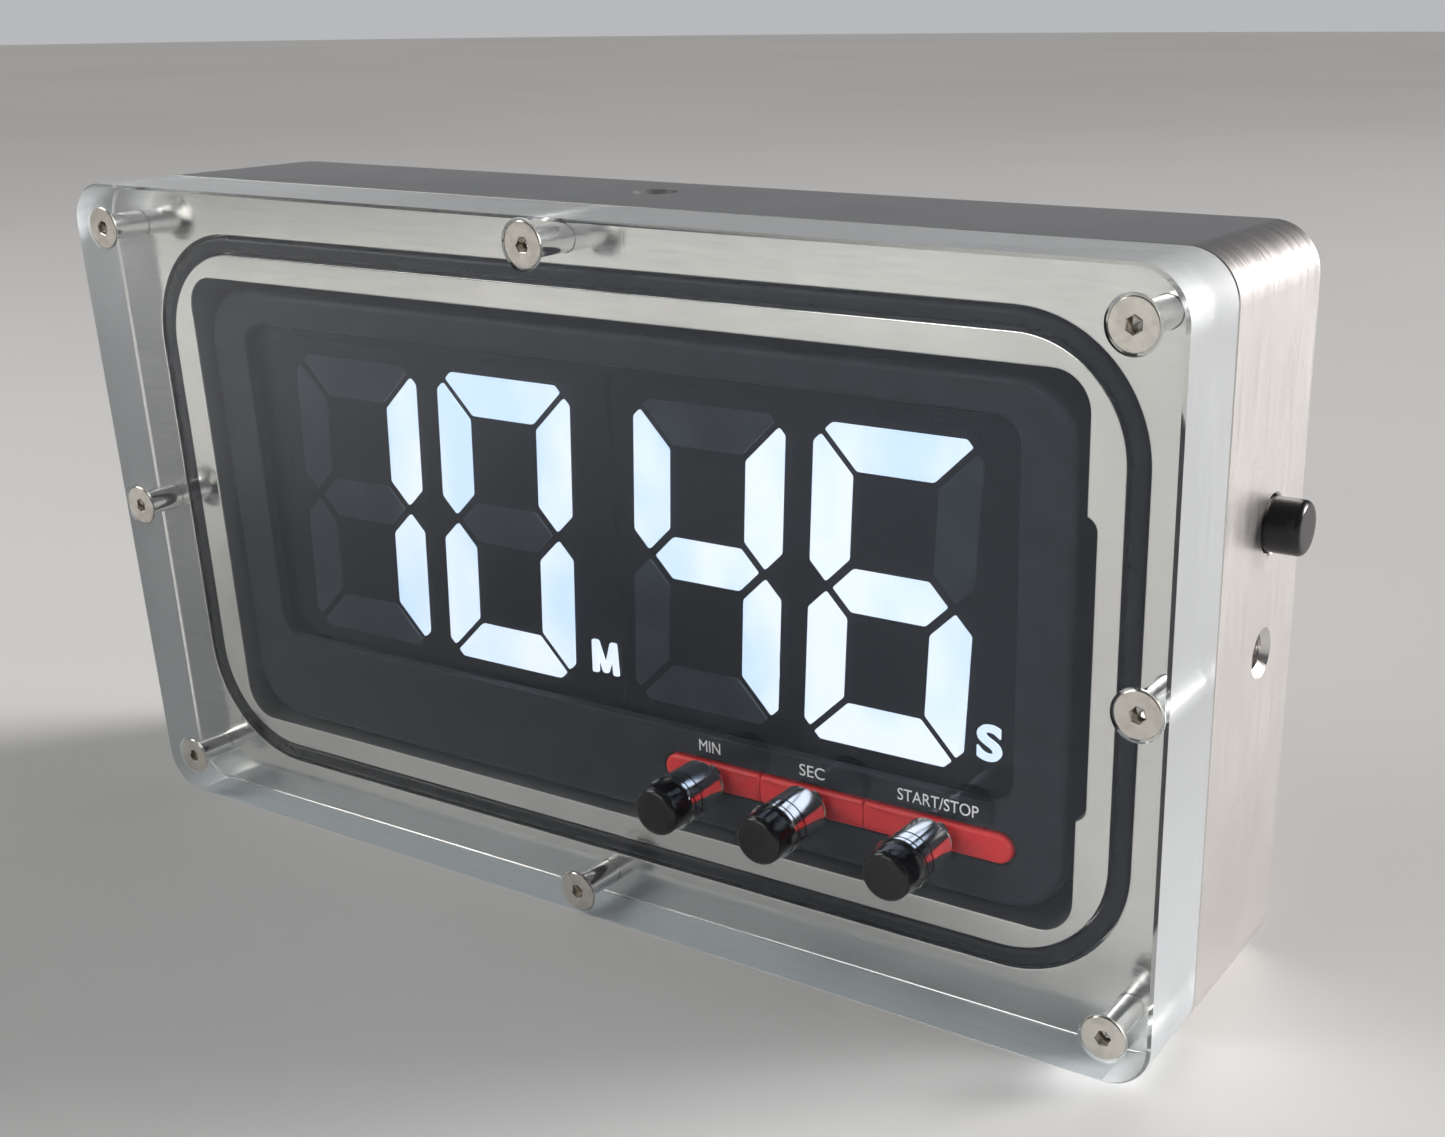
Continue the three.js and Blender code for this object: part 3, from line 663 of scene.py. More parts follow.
def pocket_cutter():
    (x, z), y = POCKET["half"], FLANGE_Y - PAST
    main = rounded_block("pocket", (-x, y, MIDDLE_Z - z), (x, POCKET["floor"], MIDDLE_Z + z),
                         POCKET["radius"], 12)
    bevel_edges(main, is_outer_edge(POCKET["floor"]), 0.8 * MM, 3)
    low, high = MIDDLE_Z + RELIEF["low"], MIDDLE_Z + RELIEF["high"]
    side = block("relief", (x - 5 * MM, y, low), (RELIEF["x"], POCKET["floor"], high))
    with edit(side):
        choose("FACE", lambda face: face.normal.x > 0.9)
        slope = 1 - 2 * RELIEF["ramp"] / (high - low)
        bpy.ops.transform.resize(value=(1, 1, slope), center_override=(0, 0, (low + high) / 2))
    bevel_edges(side, lambda edge: runs_along(edge, 1) and edge.verts[0].co.x > x, 1.2 * MM, 4)
    return carve(main, side, how="UNION")


def milled_housing():
    piece = rounded_block("milled_housing", body_low, body_high, CORNER, 16)
    bevel_edges(piece, is_outer_edge(body_high.y), 0.6 * MM, 2)
    bevel_edges(piece, is_outer_edge(FLANGE_Y), 0.2 * MM, 1)
    groove = rounded_frame("groove", GROOVE["half"], GROOVE["radius"], GROOVE["across"],
                           FLANGE_Y - PAST, FLANGE_Y + GROOVE["depth"])
    return carve(piece, pocket_cutter(), groove)


housing = milled_housing()
print("milled housing:", len(housing.data.polygons), "faces")

# %% [markdown]
# The mouths of the pocket and the groove lie in the flange. Every edge in that plane, except
# the outer one, belongs to one of them, so one bevel breaks them all.


# %% Break the mouths of the pocket and groove
def in_flange_mouth(edge):
    inside = all(abs(end.co.x) < HALF_X - 5 * MM and abs(end.co.z - MIDDLE_Z) < HALF_Z - 5 * MM
                 for end in edge.verts)
    beside_wall = any(abs(face.normal.y) < 0.5 for face in edge.link_faces)
    return level(edge, 1, FLANGE_Y) and inside and beside_wall


bevel_edges(housing, in_flange_mouth, 0.3 * MM, 2)

# %% [markdown]
# The bores are turned cutters. The one for the side plunger is stepped, with a narrow hole
# for the stem behind the wide one for the head. A tapped hole is cut with a ridged bar, so
# its wall carries the rings of a thread: for a cutter, ridges outwards are grooves in metal.

# %% Bore the plunger hole, the screw holes and the accessory threads
side_low, side_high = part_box("side_plunger")
SIDE_Y, SIDE_Z = (side_low.y + side_high.y) / 2, (side_low.z + side_high.z) / 2
SIDE_ACCESSORY = Vector((body_high.x, SIDE_Y - 0.6 * MM, MIDDLE_Z - 1.8 * MM))
TOP_ACCESSORY = Vector((-2.5 * MM, 2.2 * MM, body_high.z))
BORE_R, STEM_HOLE_R, SIDE_BORE, SIDE_WALL = 4.1, 2.2, 13.5, 15.0
ACCESSORY_THREAD = {"major": 3.17, "minor": 2.6, "pitch": 1.27, "depth": 11.2, "point": 1.5}
SCREW_HOLE = [(2.2, -1), (2.2, 0), (1.85, 0.35), (1.85, 12)]
SCREWS = [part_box(f"window_screw_{i}") for i in range(1, 9)]
SCREW_SPOTS = [((low.x + high.x) / 2, (low.z + high.z) / 2) for low, high in SCREWS]


def thread_stations(major, minor, pitch, depth, point):
    """The outline of a tapped hole from its mouth inwards, in millimetres."""
    stations = [(major + 0.5, -1), (major + 0.5, 0), (minor, 0.5 + major - minor)]
    y = stations[-1][1]
    while y + pitch < depth:
        stations += [(minor, y + pitch * 0.15), (major - 0.05, y + pitch * 0.5),
                     (major - 0.05, y + pitch * 0.6), (minor, y + pitch * 0.95)]
        y += pitch
    return stations + [(minor, depth), (minor * 0.2, depth + point)]


def bore_stations(mouth, chamfer, depth, through):
    """A stepped bore: a chamfered mouth, the wide part, and the narrow hole for the stem."""
    return [(BORE_R + mouth, -1), (BORE_R + mouth, 0), (BORE_R, chamfer), (BORE_R, depth),
            (STEM_HOLE_R, depth), (STEM_HOLE_R, through)]


plunger_bore = settle(turned("side_bore", bore_stations(0.3, 0.3, SIDE_BORE, SIDE_WALL + 3)),
                      (body_high.x, SIDE_Y, SIDE_Z), math.pi / 2)
side_thread = settle(turned("side_thread", thread_stations(**ACCESSORY_THREAD)),
                     SIDE_ACCESSORY, math.pi / 2)
top_thread = settle(turned("top_thread", thread_stations(**ACCESSORY_THREAD)),
                    TOP_ACCESSORY, -math.pi / 2, "X")
screw_holes = [settle(turned("screw_hole", SCREW_HOLE, 32), (x, FLANGE_Y, z)) for x, z in SCREW_SPOTS]
carve(housing, plunger_bore, side_thread, top_thread, *screw_holes)

# %% [markdown]
# The housing is finished in five ways, so its faces are sorted by their place and direction:
# the milled outline, its top and bottom with their painted reflection, the faced back, the
# pocket with its painted shade, and the flange.


# %% Paint the housing
def on_top_or_bottom(face):
    return abs(face.normal.z) > 0.7 and abs(face.center.z - MIDDLE_Z) > HALF_Z - 0.2 * MM


def on_back(face):
    return face.center.y > body_high.y - HAIR


def in_pocket(face):
    x, z = abs(face.center.x), abs(face.center.z - MIDDLE_Z)
    behind_chamfer = face.center.y > FLANGE_Y + 0.35 * MM
    return behind_chamfer and x < RELIEF["x"] + PAST and z < POCKET["half"][1] + PAST


def on_flange(face):
    return face.normal.y < -0.5


paint(housing, BRUSHED, (TOP_BRUSHED_PAINTED_REFLECTION, on_top_or_bottom), (FACED, on_back), (MILLED_PAINTED_SHADE, in_pocket),
      (FLANGE, on_flange))
hand_over(housing, "housing", "housing_aluminium", "housing_body")

# %% [markdown]
# ## The window
# A sheet of acrylic nearly 16 mm thick, cut to the outline of the housing. It has a
# countersunk hole for each of the eight screws and a stepped bore for each front plunger.
# The faces are polished, the outline is milled, and the bores are in between, so the faces
# of the mesh are sorted into three materials by their place.

# %% Cut the window and bore it
window = rounded_block("window_sheet", window_low, window_high, CORNER, 16)
bevel_edges(window, is_outer_edge(window_low.y), 0.45 * MM, 1)
bevel_edges(window, is_outer_edge(window_high.y), 0.3 * MM, 1)
THICK = (window_high.y - window_low.y) / MM
PLUNGER_BORE = 13.8
FRONT_BUTTONS = ("min", "sec", "start")
PLUNGER_SPOTS = {}
for name in FRONT_BUTTONS:
    low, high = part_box(f"{name}_plunger")
    PLUNGER_SPOTS[name] = ((low.x + high.x) / 2, (low.z + high.z) / 2)

SINK = [(3.75, -1), (3.75, 0), (3.65, 0.4), (2.1, 1.95), (2.1, THICK + 1)]
BORE = bore_stations(0.2, 0.25, PLUNGER_BORE, THICK + 1)
holes = [settle(turned("countersink", SINK, 40), (x, window_low.y, z)) for x, z in SCREW_SPOTS]
holes += [settle(turned("bore", BORE, 64), (x, window_low.y, z)) for x, z in PLUNGER_SPOTS.values()]
carve(window, *holes)


def on_outline(face):
    """True for the walls and rounded corners of the sheet, and not for the walls of its holes."""
    x, z = abs(face.center.x), abs(face.center.z - MIDDLE_Z)
    past_x, past_z = x - (HALF_X - CORNER), z - (HALF_Z - CORNER)
    near_side = x > HALF_X - 0.7 * MM or z > HALF_Z - 0.7 * MM
    near_corner = min(past_x, past_z) > 0 and math.hypot(past_x, past_z) > CORNER - 0.5 * MM
    return abs(face.normal.y) < 0.5 and (near_side or near_corner)


def in_hole(face):
    return abs(face.normal.y) < 0.8


paint(window, ACRYLIC, (SAWN, on_outline), (BORED, in_hole))
hand_over(window, "housing", "clear_acrylic", "front_window")

# %% [markdown]
# ## The seal and the screws
# The seal is a rubber cord in its groove: the same rounded ring as the groove's cutter, with
# its long edges rolled over by a wide bevel. A screw is turned with a conical head and a
# ridged thread, and its hexagon socket is a six-sided cutter with a drill point.

# %% Rubber ring
SEAL_GAP = 0.25 * MM
seal = rounded_frame("seal_ring", [side - SEAL_GAP for side in GROOVE["half"]],
                     GROOVE["radius"] - SEAL_GAP, GROOVE["across"] - 2 * SEAL_GAP,
                     FLANGE_Y + 0.02 * MM, FLANGE_Y + GROOVE["depth"] - 0.1 * MM)


def is_long_edge(edge):
    """A test for the edges where a flat front or back meets a wall."""
    slopes = sorted(abs(face.normal.y) for face in edge.link_faces)
    return slopes[0] < 0.5 and slopes[-1] > 0.9


bevel_edges(seal, is_long_edge, 0.95 * MM, 5)
paint(seal, RUBBER)
hand_over(seal, "housing", "black_rubber", "window_seal", angle=60)

# %% One screw, then seven copies
HEAD_R, SHANK_R, ROOT_R, TIP_R = 3.35, 1.6, 1.28, 1.1
PLAIN, LENGTH, THREAD_PITCH = 8.2, 24.9, 0.7
SOCKET = [(1.3, -1), (1.3, 0), (1.15, 0.12), (1.15, 2.0), (0.1, 2.5)]
SUNK = 0.05 * MM
EACH_TURN = 0.37  # radians, so that no two sockets stand alike


def screw_stations():
    """A conical head, a plain shank as far as PLAIN, and a ridged thread, in millimetres."""
    stations = [(HEAD_R - 0.15, 0), (HEAD_R, 0.12), (HEAD_R, 0.35), (SHANK_R, 2.1), (SHANK_R, PLAIN)]
    y = PLAIN
    while y + THREAD_PITCH < LENGTH - THREAD_PITCH:
        stations += [(ROOT_R, y + THREAD_PITCH * 0.4), (ROOT_R, y + THREAD_PITCH * 0.5),
                     (SHANK_R, y + THREAD_PITCH * 0.9), (SHANK_R, y + THREAD_PITCH)]
        y += THREAD_PITCH
    return stations + [(TIP_R, LENGTH)]


screw = turned("screw", screw_stations(), 40)
carve(screw, turned("socket", SOCKET, 6))
paint(screw, STAINLESS)
for i, (x, z) in enumerate(SCREW_SPOTS):
    twin = copy_of(screw, f"window_screw_{i + 1}_fine")
    settle(twin, (0, 0, 0), EACH_TURN * i, "Y")
    settle(twin, (x, window_low.y + SUNK, z))
    hand_over(twin, "housing", "stainless_steel", f"window_screw_{i + 1}")
bpy.data.objects.remove(screw)

# %% [markdown]
# ## The plungers
# A plunger is a turned black rod: a cap with a rolled rim, two grooves for rubber rings, a
# thin stem, and a groove for the clip that keeps it in. Every length is measured from the
# mouth of its bore, so one function makes the short front ones and the longer side one.


# %% The turned rod
CAP_R, STEM_R, CLIP_GROOVE_R = 3.85, 1.9, 1.5
RIM, RIM_STEPS = 0.95, 6
HEAD_LENGTH = 6.8
RING_AT = (1.7, 4.9)
RING = {"middle": 3.53, "section": 0.62, "groove": 2.9, "half": 0.72}
CLIP = {"outer": 3.3, "inner": 1.65, "thick": 0.5, "gap": 0.25}
EASE = 0.1


def plunger_rod(name, cap, wall, end):
    """The cap stands out by cap, the clip is behind a wall of that thickness, the stem stops at end."""
    stations = [(2.2, -cap), (CAP_R - RIM, -cap)]
    for step in range(1, RIM_STEPS + 1):
        turn = step / RIM_STEPS * math.pi / 2
        stations.append((CAP_R - RIM * (1 - math.sin(turn)), -cap + RIM * (1 - math.cos(turn))))
    for y in RING_AT:
        near, far = y - RING["half"], y + RING["half"]
        stations += [(CAP_R, near - EASE), (CAP_R - EASE, near), (RING["groove"], near),
                     (RING["groove"], far), (CAP_R - EASE, far), (CAP_R, far + EASE)]
    stations += [(CAP_R, HEAD_LENGTH - 2 * EASE), (CAP_R - 2 * EASE, HEAD_LENGTH)]
    near, far = wall + CLIP["gap"] - EASE, wall + CLIP["gap"] + CLIP["thick"] + EASE
    stations += [(STEM_R, HEAD_LENGTH), (STEM_R, near), (CLIP_GROOVE_R, near), (CLIP_GROOVE_R, far),
                 (STEM_R, far), (STEM_R, end - 2 * EASE), (STEM_R - 2 * EASE, end)]
    return turned(f"{name}_rod", stations, 64)


# %% [markdown]
# A rubber ring is a torus. Its inner side is widened, because the groove squeezes it, and its
# outer side presses on the wall of the bore. That contact is what shows as a dark line
# through the clear plastic. The clip is a disc with a hole and a slot, which slides onto the
# stem from the side.


# %% Rubber ring and snap clip
def rubber_ring(name, y):
    bpy.ops.mesh.primitive_torus_add(major_radius=RING["middle"] * MM, major_segments=64,
                                     minor_radius=RING["section"] * MM, minor_segments=20,
                                     rotation=(math.pi / 2, 0, 0))
    ring = bpy.context.object
    ring.name = name
    settle(ring)
    inner = (RING["middle"] - 0.3) * MM
    with edit(ring):
        choose("VERT", lambda corner: math.hypot(corner.co.x, corner.co.z) < inner)
        bpy.ops.transform.resize(value=(1.015, 1.25, 1.015), center_override=(0, 0, 0))
    return settle(ring, (0, y * MM, 0))


def snap_clip(name, y):
    outer, back = CLIP["outer"], y + CLIP["thick"]
    eased = outer - 0.05
    disc = turned(name, [(eased, y), (outer, y + 0.05), (outer, back - 0.05), (eased, back)], 48)
    hole = turned("clip_hole", [(CLIP["inner"], y - 1), (CLIP["inner"], y + 2)], 32)
    slot_low, slot_high = Vector((-1.1, y - 1, -0.5)) * MM, Vector((1.1, y + 2, 4)) * MM
    slot = rounded_block("clip_slot", slot_low, slot_high, 0.3 * MM, 3)
    return carve(disc, carve(hole, slot, how="UNION"))


# %% [markdown]
# The spring is a small circle swept up a helix by the Screw modifier. Its two ends are left
# open by the sweep, so they are filled.

# %% Coil spring
SPRING = {"mean": 3.0, "wire": 0.32, "turns": 5.0, "steps": 32}


def coil_spring(name, start, end):
    wire, mean = SPRING["wire"] * MM, SPRING["mean"] * MM
    bpy.ops.mesh.primitive_circle_add(vertices=10, radius=wire, location=(mean, 0, 0),
                                      rotation=(math.pi / 2, 0, 0))
    spring = bpy.context.object
    spring.name = name
    settle(spring)
    rise = (end - start) * MM - 2 * wire
    steps = int(SPRING["steps"] * SPRING["turns"])
    apply(spring, "SCREW", axis="Z", angle=math.tau * SPRING["turns"], screw_offset=rise, steps=steps,
          render_steps=steps, use_merge_vertices=False)
    with edit(spring):
        choose("EDGE", lambda edge: edge.is_boundary)
        bpy.ops.mesh.fill_holes(sides=0)
        face_outwards()
    settle(spring, (0, 0, 0), -math.pi / 2, "X")
    return settle(spring, (0, start * MM + wire, 0))


# %% [markdown]
# The pieces of a plunger are modelled at the origin and then settled at the mouth of its
# bore. The spring belongs to the housing, and runs from the back of the plunger's head to the
# floor of the wide bore.


def plunger_set(name, mouth, turn, wall, bore):
    """All the pieces of one plunger, turned to its bore and put at the bore's mouth."""
    low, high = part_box(f"{name}_plunger")
    along = 0 if name == "side" else 1
    cap = (high[along] - mouth[along] if name == "side" else mouth[along] - low[along]) / MM
    end = (high[along] - low[along]) / MM - cap
    body = f"{name}_plunger_body"
    rod = plunger_rod(name, cap, wall, end)
    clip = snap_clip(f"{name}_snap_clip", wall + CLIP["gap"])
    spring = coil_spring(f"{name}_coil_spring", HEAD_LENGTH, bore)
    made = [(rod, ACETAL, body, "plunger_black", f"{name}_plunger"),
            (clip, STAINLESS, body, "stainless_steel", f"{name}_clip"),
            (spring, STAINLESS, "housing", "stainless_steel", f"{name}_spring")]
    for place, y in zip(("outer", "inner"), RING_AT):
        ring = rubber_ring(f"{name}_{place}_ring", y)
        made.append((ring, RUBBER, body, "black_rubber", f"{name}_{place}_seal"))
    for piece, material, rides_on, slot, node in made:
        settle(piece, mouth, turn)
        paint(piece, material)
        hand_over(piece, rides_on, slot, node)
    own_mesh(spring)


for name, (x, z) in PLUNGER_SPOTS.items():
    plunger_set(name, (x, window_low.y, z), 0.0, THICK, PLUNGER_BORE)
plunger_set("side", (body_high.x, SIDE_Y, SIDE_Z), math.pi / 2, SIDE_WALL, SIDE_BORE)

# %% [markdown]
# ## The timer's case
# The timer is a moulded box in two halves. The front half is a shell with the display's
# opening and one long slot for the three buttons. Its rim is rolled over, which gives the
# soft light line round its face. Inside it are four bosses for the case's screws.

# %% The front half
case_low, case_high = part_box("timer_front_case")
rear_low, rear_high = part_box("timer_rear_case")
FACE = Vector(((case_low.x + case_high.x) / 2, case_low.y, (case_low.z + case_high.z) / 2))
CASE_CORNER, WALL, FACE_WALL = 9.5, 2.0, 1.8
OPENING = {"x": 0.1, "z": 5.4, "half": (73.3, 27.95), "radius": 4.0}
BUTTON_Z, BUTTON_HALF, SLOT_CLEAR = -29.35, 2.3, 0.3
BOSSES = [(i * 75.8, j * 32.7) for i in (-1, 1) for j in (-1, 1)]
BOSS_R, PILOT_R, BOSS_START, SPLIT = 3.4, 1.25, 3.7, 11.99


def on_timer(x, y, z):
    """A place on the timer, from the middle of its face, in millimetres."""
    return FACE + Vector((x, y, z)) * MM


def timer_block(name, low, high, radius, steps=10):
    return rounded_block(name, on_timer(*low), on_timer(*high), radius * MM, steps)


def at_bosses(stations, sides=32):
    """Four turned bars, one on the axis of each case screw."""
    return [settle(turned("boss", stations, sides), on_timer(x, 0, z)) for x, z in BOSSES]


def button_range():
    lows, highs = zip(*(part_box(f"{name}_button") for name in FRONT_BUTTONS))
    return (lows[0].x - FACE.x) / MM, (highs[-1].x - FACE.x) / MM


def shell(name, low, high, rim_y, open_y, floor_y):
    """Half of the case: a rounded block with a rolled rim, hollowed from its open side."""
    piece = rounded_block(name, low, high, CASE_CORNER * MM, 16)
    bevel_edges(piece, is_outer_edge(rim_y), 1.3 * MM, 5)
    inner = WALL * MM
    front, back = sorted((open_y, floor_y))
    hollow = rounded_block("hollow", (low.x + inner, front, low.z + inner),
                           (high.x - inner, back, high.z - inner), (CASE_CORNER - WALL) * MM, 12)
    return carve(piece, hollow)


case = shell("front_shell", case_low, case_high, rim_y=case_low.y, open_y=case_high.y + PAST,
             floor_y=case_low.y + FACE_WALL * MM)
half_x, half_z = OPENING["half"]
opening = timer_block("opening", (OPENING["x"] - half_x, -1, OPENING["z"] - half_z),
                      (OPENING["x"] + half_x, 3, OPENING["z"] + half_z), OPENING["radius"])
slot_left, slot_right = button_range()
reach = BUTTON_HALF + SLOT_CLEAR
button_slot = timer_block("button_slot", (slot_left - SLOT_CLEAR, -1, BUTTON_Z - reach),
                          (slot_right + SLOT_CLEAR, 3, BUTTON_Z + reach), reach - 0.01, 12)
carve(case, opening, button_slot)
carve(case, *at_bosses([(BOSS_R, BOSS_START), (BOSS_R, SPLIT)]), how="UNION")
carve(case, *at_bosses([(PILOT_R, 5), (PILOT_R, 13)], 24))


def in_face_mouth(edge):
    return level(edge, 1, case_low.y) and any(abs(face.normal.y) < 0.3 for face in edge.link_faces)


bevel_edges(case, in_face_mouth, 0.45 * MM, 2)
paint(case, CASE)
hand_over(case, "housing", "case_black", "timer_front_case")

# %% [markdown]
# The rear half is the same shell turned round, with a slot for the side key and an opening
# for the battery cover. Its bosses meet those of the front half, and a case screw goes down
# each. The battery cover is a plate with a gap all round it and five grooves for the fingers.

# %% The rear half and the battery cover
cover_low, cover_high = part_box("battery_cover")
key_low, key_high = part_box("side_key")
rear = shell("rear_shell", rear_low, rear_high, rim_y=rear_high.y, open_y=rear_low.y - PAST,
             floor_y=rear_high.y - FACE_WALL * MM)
BACK = (rear_high.y - FACE.y) / MM
REAR_SPLIT = 12.16
carve(rear, *at_bosses([(BOSS_R, REAR_SPLIT), (BOSS_R, BACK - 1)]), how="UNION")
gap = Vector((0.3, 0, 0.3)) * MM
cover_opening = rounded_block("cover_opening", cover_low - gap - Vector((0, 2 * MM, 0)),
                              cover_high + gap + Vector((0, PAST, 0)), 3 * MM, 8)
KEY_Y, KEY_Z = (key_low.y + key_high.y) / 2, (key_low.z + key_high.z) / 2
slot_y, slot_z = 2 * MM, 5.8 * MM
key_slot = rounded_block("key_slot", (rear_high.x - 4 * MM, KEY_Y - slot_y, KEY_Z - slot_z),
                         (rear_high.x + PAST, KEY_Y + slot_y, KEY_Z + slot_z), 0.5 * MM, 4, axis=0)
sinks = at_bosses([(1.6, 11), (1.6, BACK - 3), (2.8, BACK - 3), (2.8, BACK + 1)])
carve(rear, cover_opening, key_slot, *sinks)
paint(rear, CASE)
hand_over(rear, "housing", "case_black", "timer_rear_case")

cover = rounded_block("battery_lid", cover_low, cover_high, 2.7 * MM, 8)
bevel_edges(cover, is_outer_edge(cover_high.y), 0.3 * MM, 2)
grip_low = Vector((cover_high.x - 6 * MM, cover_high.y - 0.5 * MM, cover_low.z + 11 * MM))
grip_high = Vector((cover_high.x - 5 * MM, cover_high.y + PAST, cover_high.z - 11 * MM))
steps = [Vector((-2 * i * MM, 0, 0)) for i in range(5)]
carve(cover, *[rounded_block("grip", grip_low + step, grip_high + step, 0.45 * MM, 4)
               for step in steps])
paint(cover, CASE)
hand_over(cover, "housing", "case_black", "battery_cover")

# %% [markdown]
# ## The display
# Each pair of digits is one sealed block with milky bars set in its face. A bar is modelled
# as a flat plate trimmed by one straight cut along each side, so its mitred ends stay true.
# One digit gives the seven plates. They are copied to the four places, and the ones that
# are lit at 10 minutes 46 seconds get the glowing material.

# %% Outlines of the seven bars
# width, height and bar of a digit, the gap at its mitres, and how its ends are cut
DIGIT = {"w": 13.6, "h": 24.4, "bar": 6.6, "mitre": 0.8, "cut": 1.05, "point": 0.45}
SLANT, PITCH, DIGIT_Z = 0.062, 32.2, 4.05
PAIRS = {"minutes": (-36.75, "10"), "seconds": (35.3, "46")}
LIT_BARS = {"0": ("top", "bottom", "upper_left", "upper_right", "lower_left", "lower_right"),
            "1": ("upper_right", "lower_right"),
            "4": ("upper_left", "upper_right", "middle", "lower_right"),
            "6": ("top", "middle", "bottom", "upper_left", "lower_left", "lower_right")}


def bar_outlines():
    """The seven outlines about the digit's middle, in millimetres, leaning to the right."""
    w, h, bar, m, c, point = DIGIT.values()
    inner = w - bar
    tip = w - bar / 2 + point
    top = [(w - m - 2 * c, h), (w - m - c, h - c), (inner - m, h - bar)]
    centre = [(inner - m, bar / 2), (inner - m + bar / 2, 0), (inner - m, -bar / 2)]
    side = [(w - c, h - m - c), (w, h - m - 2 * c), (w, w - tip + m), (tip, m),
            (inner, tip + m - inner), (inner, h - bar - m)]

    def flip(points, i, j):
        return [(i * u, j * v) for u, v in points]

    def both(points):
        return points + flip(points, -1, 1)[::-1]

    upright = {"top": both(top), "bottom": flip(both(top), 1, -1), "middle": both(centre),
               "upper_right": side, "upper_left": flip(side, -1, 1),
               "lower_right": flip(side, 1, -1), "lower_left": flip(side, -1, -1)}
    return {name: [(u + v * SLANT, v) for u, v in points] for name, points in upright.items()}


# %% A plate trimmed to its outline
def trimmed_plate(name, outline, front, back):
    """A plate cut to a convex outline, with its corners eased, then extruded to its thickness."""
    points = [Vector((u, front, v)) * MM for u, v in outline]
    low = Vector(map(min, *points))
    high = Vector(map(max, *points))
    middle = sum(points, Vector()) / len(points)
    bpy.ops.mesh.primitive_plane_add(size=1, location=(low + high) / 2, rotation=(math.pi / 2, 0, 0))
    plate = bpy.context.object
    plate.name = name
    plate.scale = (high.x - low.x, high.z - low.z, 1)
    settle(plate)
    with edit(plate):
        for start, end in zip(points, points[1:] + points[:1]):
            outward = Vector((end.z - start.z, 0, start.x - end.x)).normalized()
            if outward.dot(middle - start) > 0:
                outward.negate()
            bpy.ops.mesh.select_all(action="SELECT")
            bpy.ops.mesh.bisect(plane_co=start, plane_no=outward, clear_outer=True)
        bpy.ops.mesh.select_all(action="SELECT")
        bpy.ops.mesh.remove_doubles(threshold=0.01 * MM)
        bpy.ops.mesh.bevel(offset=0.28 * MM, segments=3, affect="VERTICES")
        bpy.ops.mesh.select_all(action="SELECT")
        pull(back - front)
        face_outwards()
    return plate


# %% Two display blocks with their bars
BAR_FRONT, BAR_BACK, BLOCK_FRONT = 3.6, 3.99, 4.0
plates = {name: trimmed_plate(name, outline, BAR_FRONT, BAR_BACK)
          for name, outline in bar_outlines().items()}
block_y = on_timer(0, BLOCK_FRONT, 0).y
for pair, (middle, digits) in PAIRS.items():
    node = f"{pair}_display"
    low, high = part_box(node)
    base = rounded_block(f"{pair}_block", (low.x, block_y, low.z), high, 0.8 * MM, 4)
    bevel_edges(base, is_outer_edge(block_y), 0.15 * MM, 2)
    paint(base, MODULE)
    hand_over(base, "housing", "led_digits", node)
    bars = {"lit": [], "unlit": []}
    for side, digit in zip((-0.5, 0.5), digits):
        for name, plate in plates.items():
            spot = on_timer(middle + side * PITCH, 0, DIGIT_Z)
            bar = settle(copy_of(plate, f"{pair}_{digit}_{name}"), spot)
            bars["lit" if name in LIT_BARS[digit] else "unlit"].append(bar)
    for state, material in (("lit", LIT), ("unlit", UNLIT)):
        group = join(f"{pair}_{state}_bars", bars[state])
        paint(group, material)
        hand_over(group, "housing", "led_digits")
for plate in plates.values():
    bpy.data.objects.remove(plate)

# %% [markdown]
# ## Letters and print
# The lit letters beside the digits and the words over the buttons say what each is for. The
# words and the S are set in Blender's own plain font, made into a mesh, and fitted to their
# real height. A lit M has to be so heavy that the font's corners would close up, so it is
# joined from four trimmed strokes instead.

# %% Lettering from the font
M_PLACE, S_PLACE, S_SIZE = (-1.9, -15.05), (67.9, -15.05), (4.0, 5.6)
WORDS = {"min_print": ("MIN", 20.9, 4.0), "sec_print": ("SEC", 39.85, 4.5),
         "start_print": ("START/STOP", 61.5, 13.4)}
WORD_Z, WORD_HEIGHT = -24.5, 1.9


def lettering(name, words, x, z, width, height, front, back, weight=0.0):
    bpy.ops.object.text_add(rotation=(math.pi / 2, 0, 0))
    text = bpy.context.object
    text.name = name
    text.data.body = words
    text.data.resolution_u = 6
    text.data.extrude = 0.5
    text.data.offset = weight
    bpy.ops.object.convert(target="MESH")
    settle(text)
    low = Vector([min(corner.co[axis] for corner in text.data.vertices) for axis in range(3)])
    high = Vector([max(corner.co[axis] for corner in text.data.vertices) for axis in range(3)])
    settle(text, -(low + high) / 2)
    text.scale = Vector((width, back - front, height)) * MM
    for axis in range(3):
        text.scale[axis] /= high[axis] - low[axis]
    settle(text, on_timer(x, (front + back) / 2, z))
    with edit(text):
        bpy.ops.mesh.select_all(action="SELECT")
        bpy.ops.mesh.remove_doubles(threshold=0.001 * MM)
        bpy.ops.mesh.normals_make_consistent(inside=False)
    return text


# %% The M, and all the signs in their places
def letter_m(name):
    """A bold M from four straight strokes: two legs and the V between them."""
    leg = [(-2.7, -2.8), (-1.5, -2.8), (-1.25, 2.8), (-2.5, 2.8)]
    slope = [(-2.45, 2.8), (-1.2, 2.8), (0.5, -2.6), (-0.5, -2.6)]
    strokes = [leg, slope, [(-u, v) for u, v in slope], [(-u, v) for u, v in leg]]
    first, *rest = [trimmed_plate(name, stroke, BAR_FRONT + 0.02 * i, BAR_BACK - 0.02 * i)
                    for i, stroke in enumerate(strokes)]
    for stroke in rest:
        carve(first, stroke, how="UNION")
    return settle(first, on_timer(M_PLACE[0], 0, M_PLACE[1]))


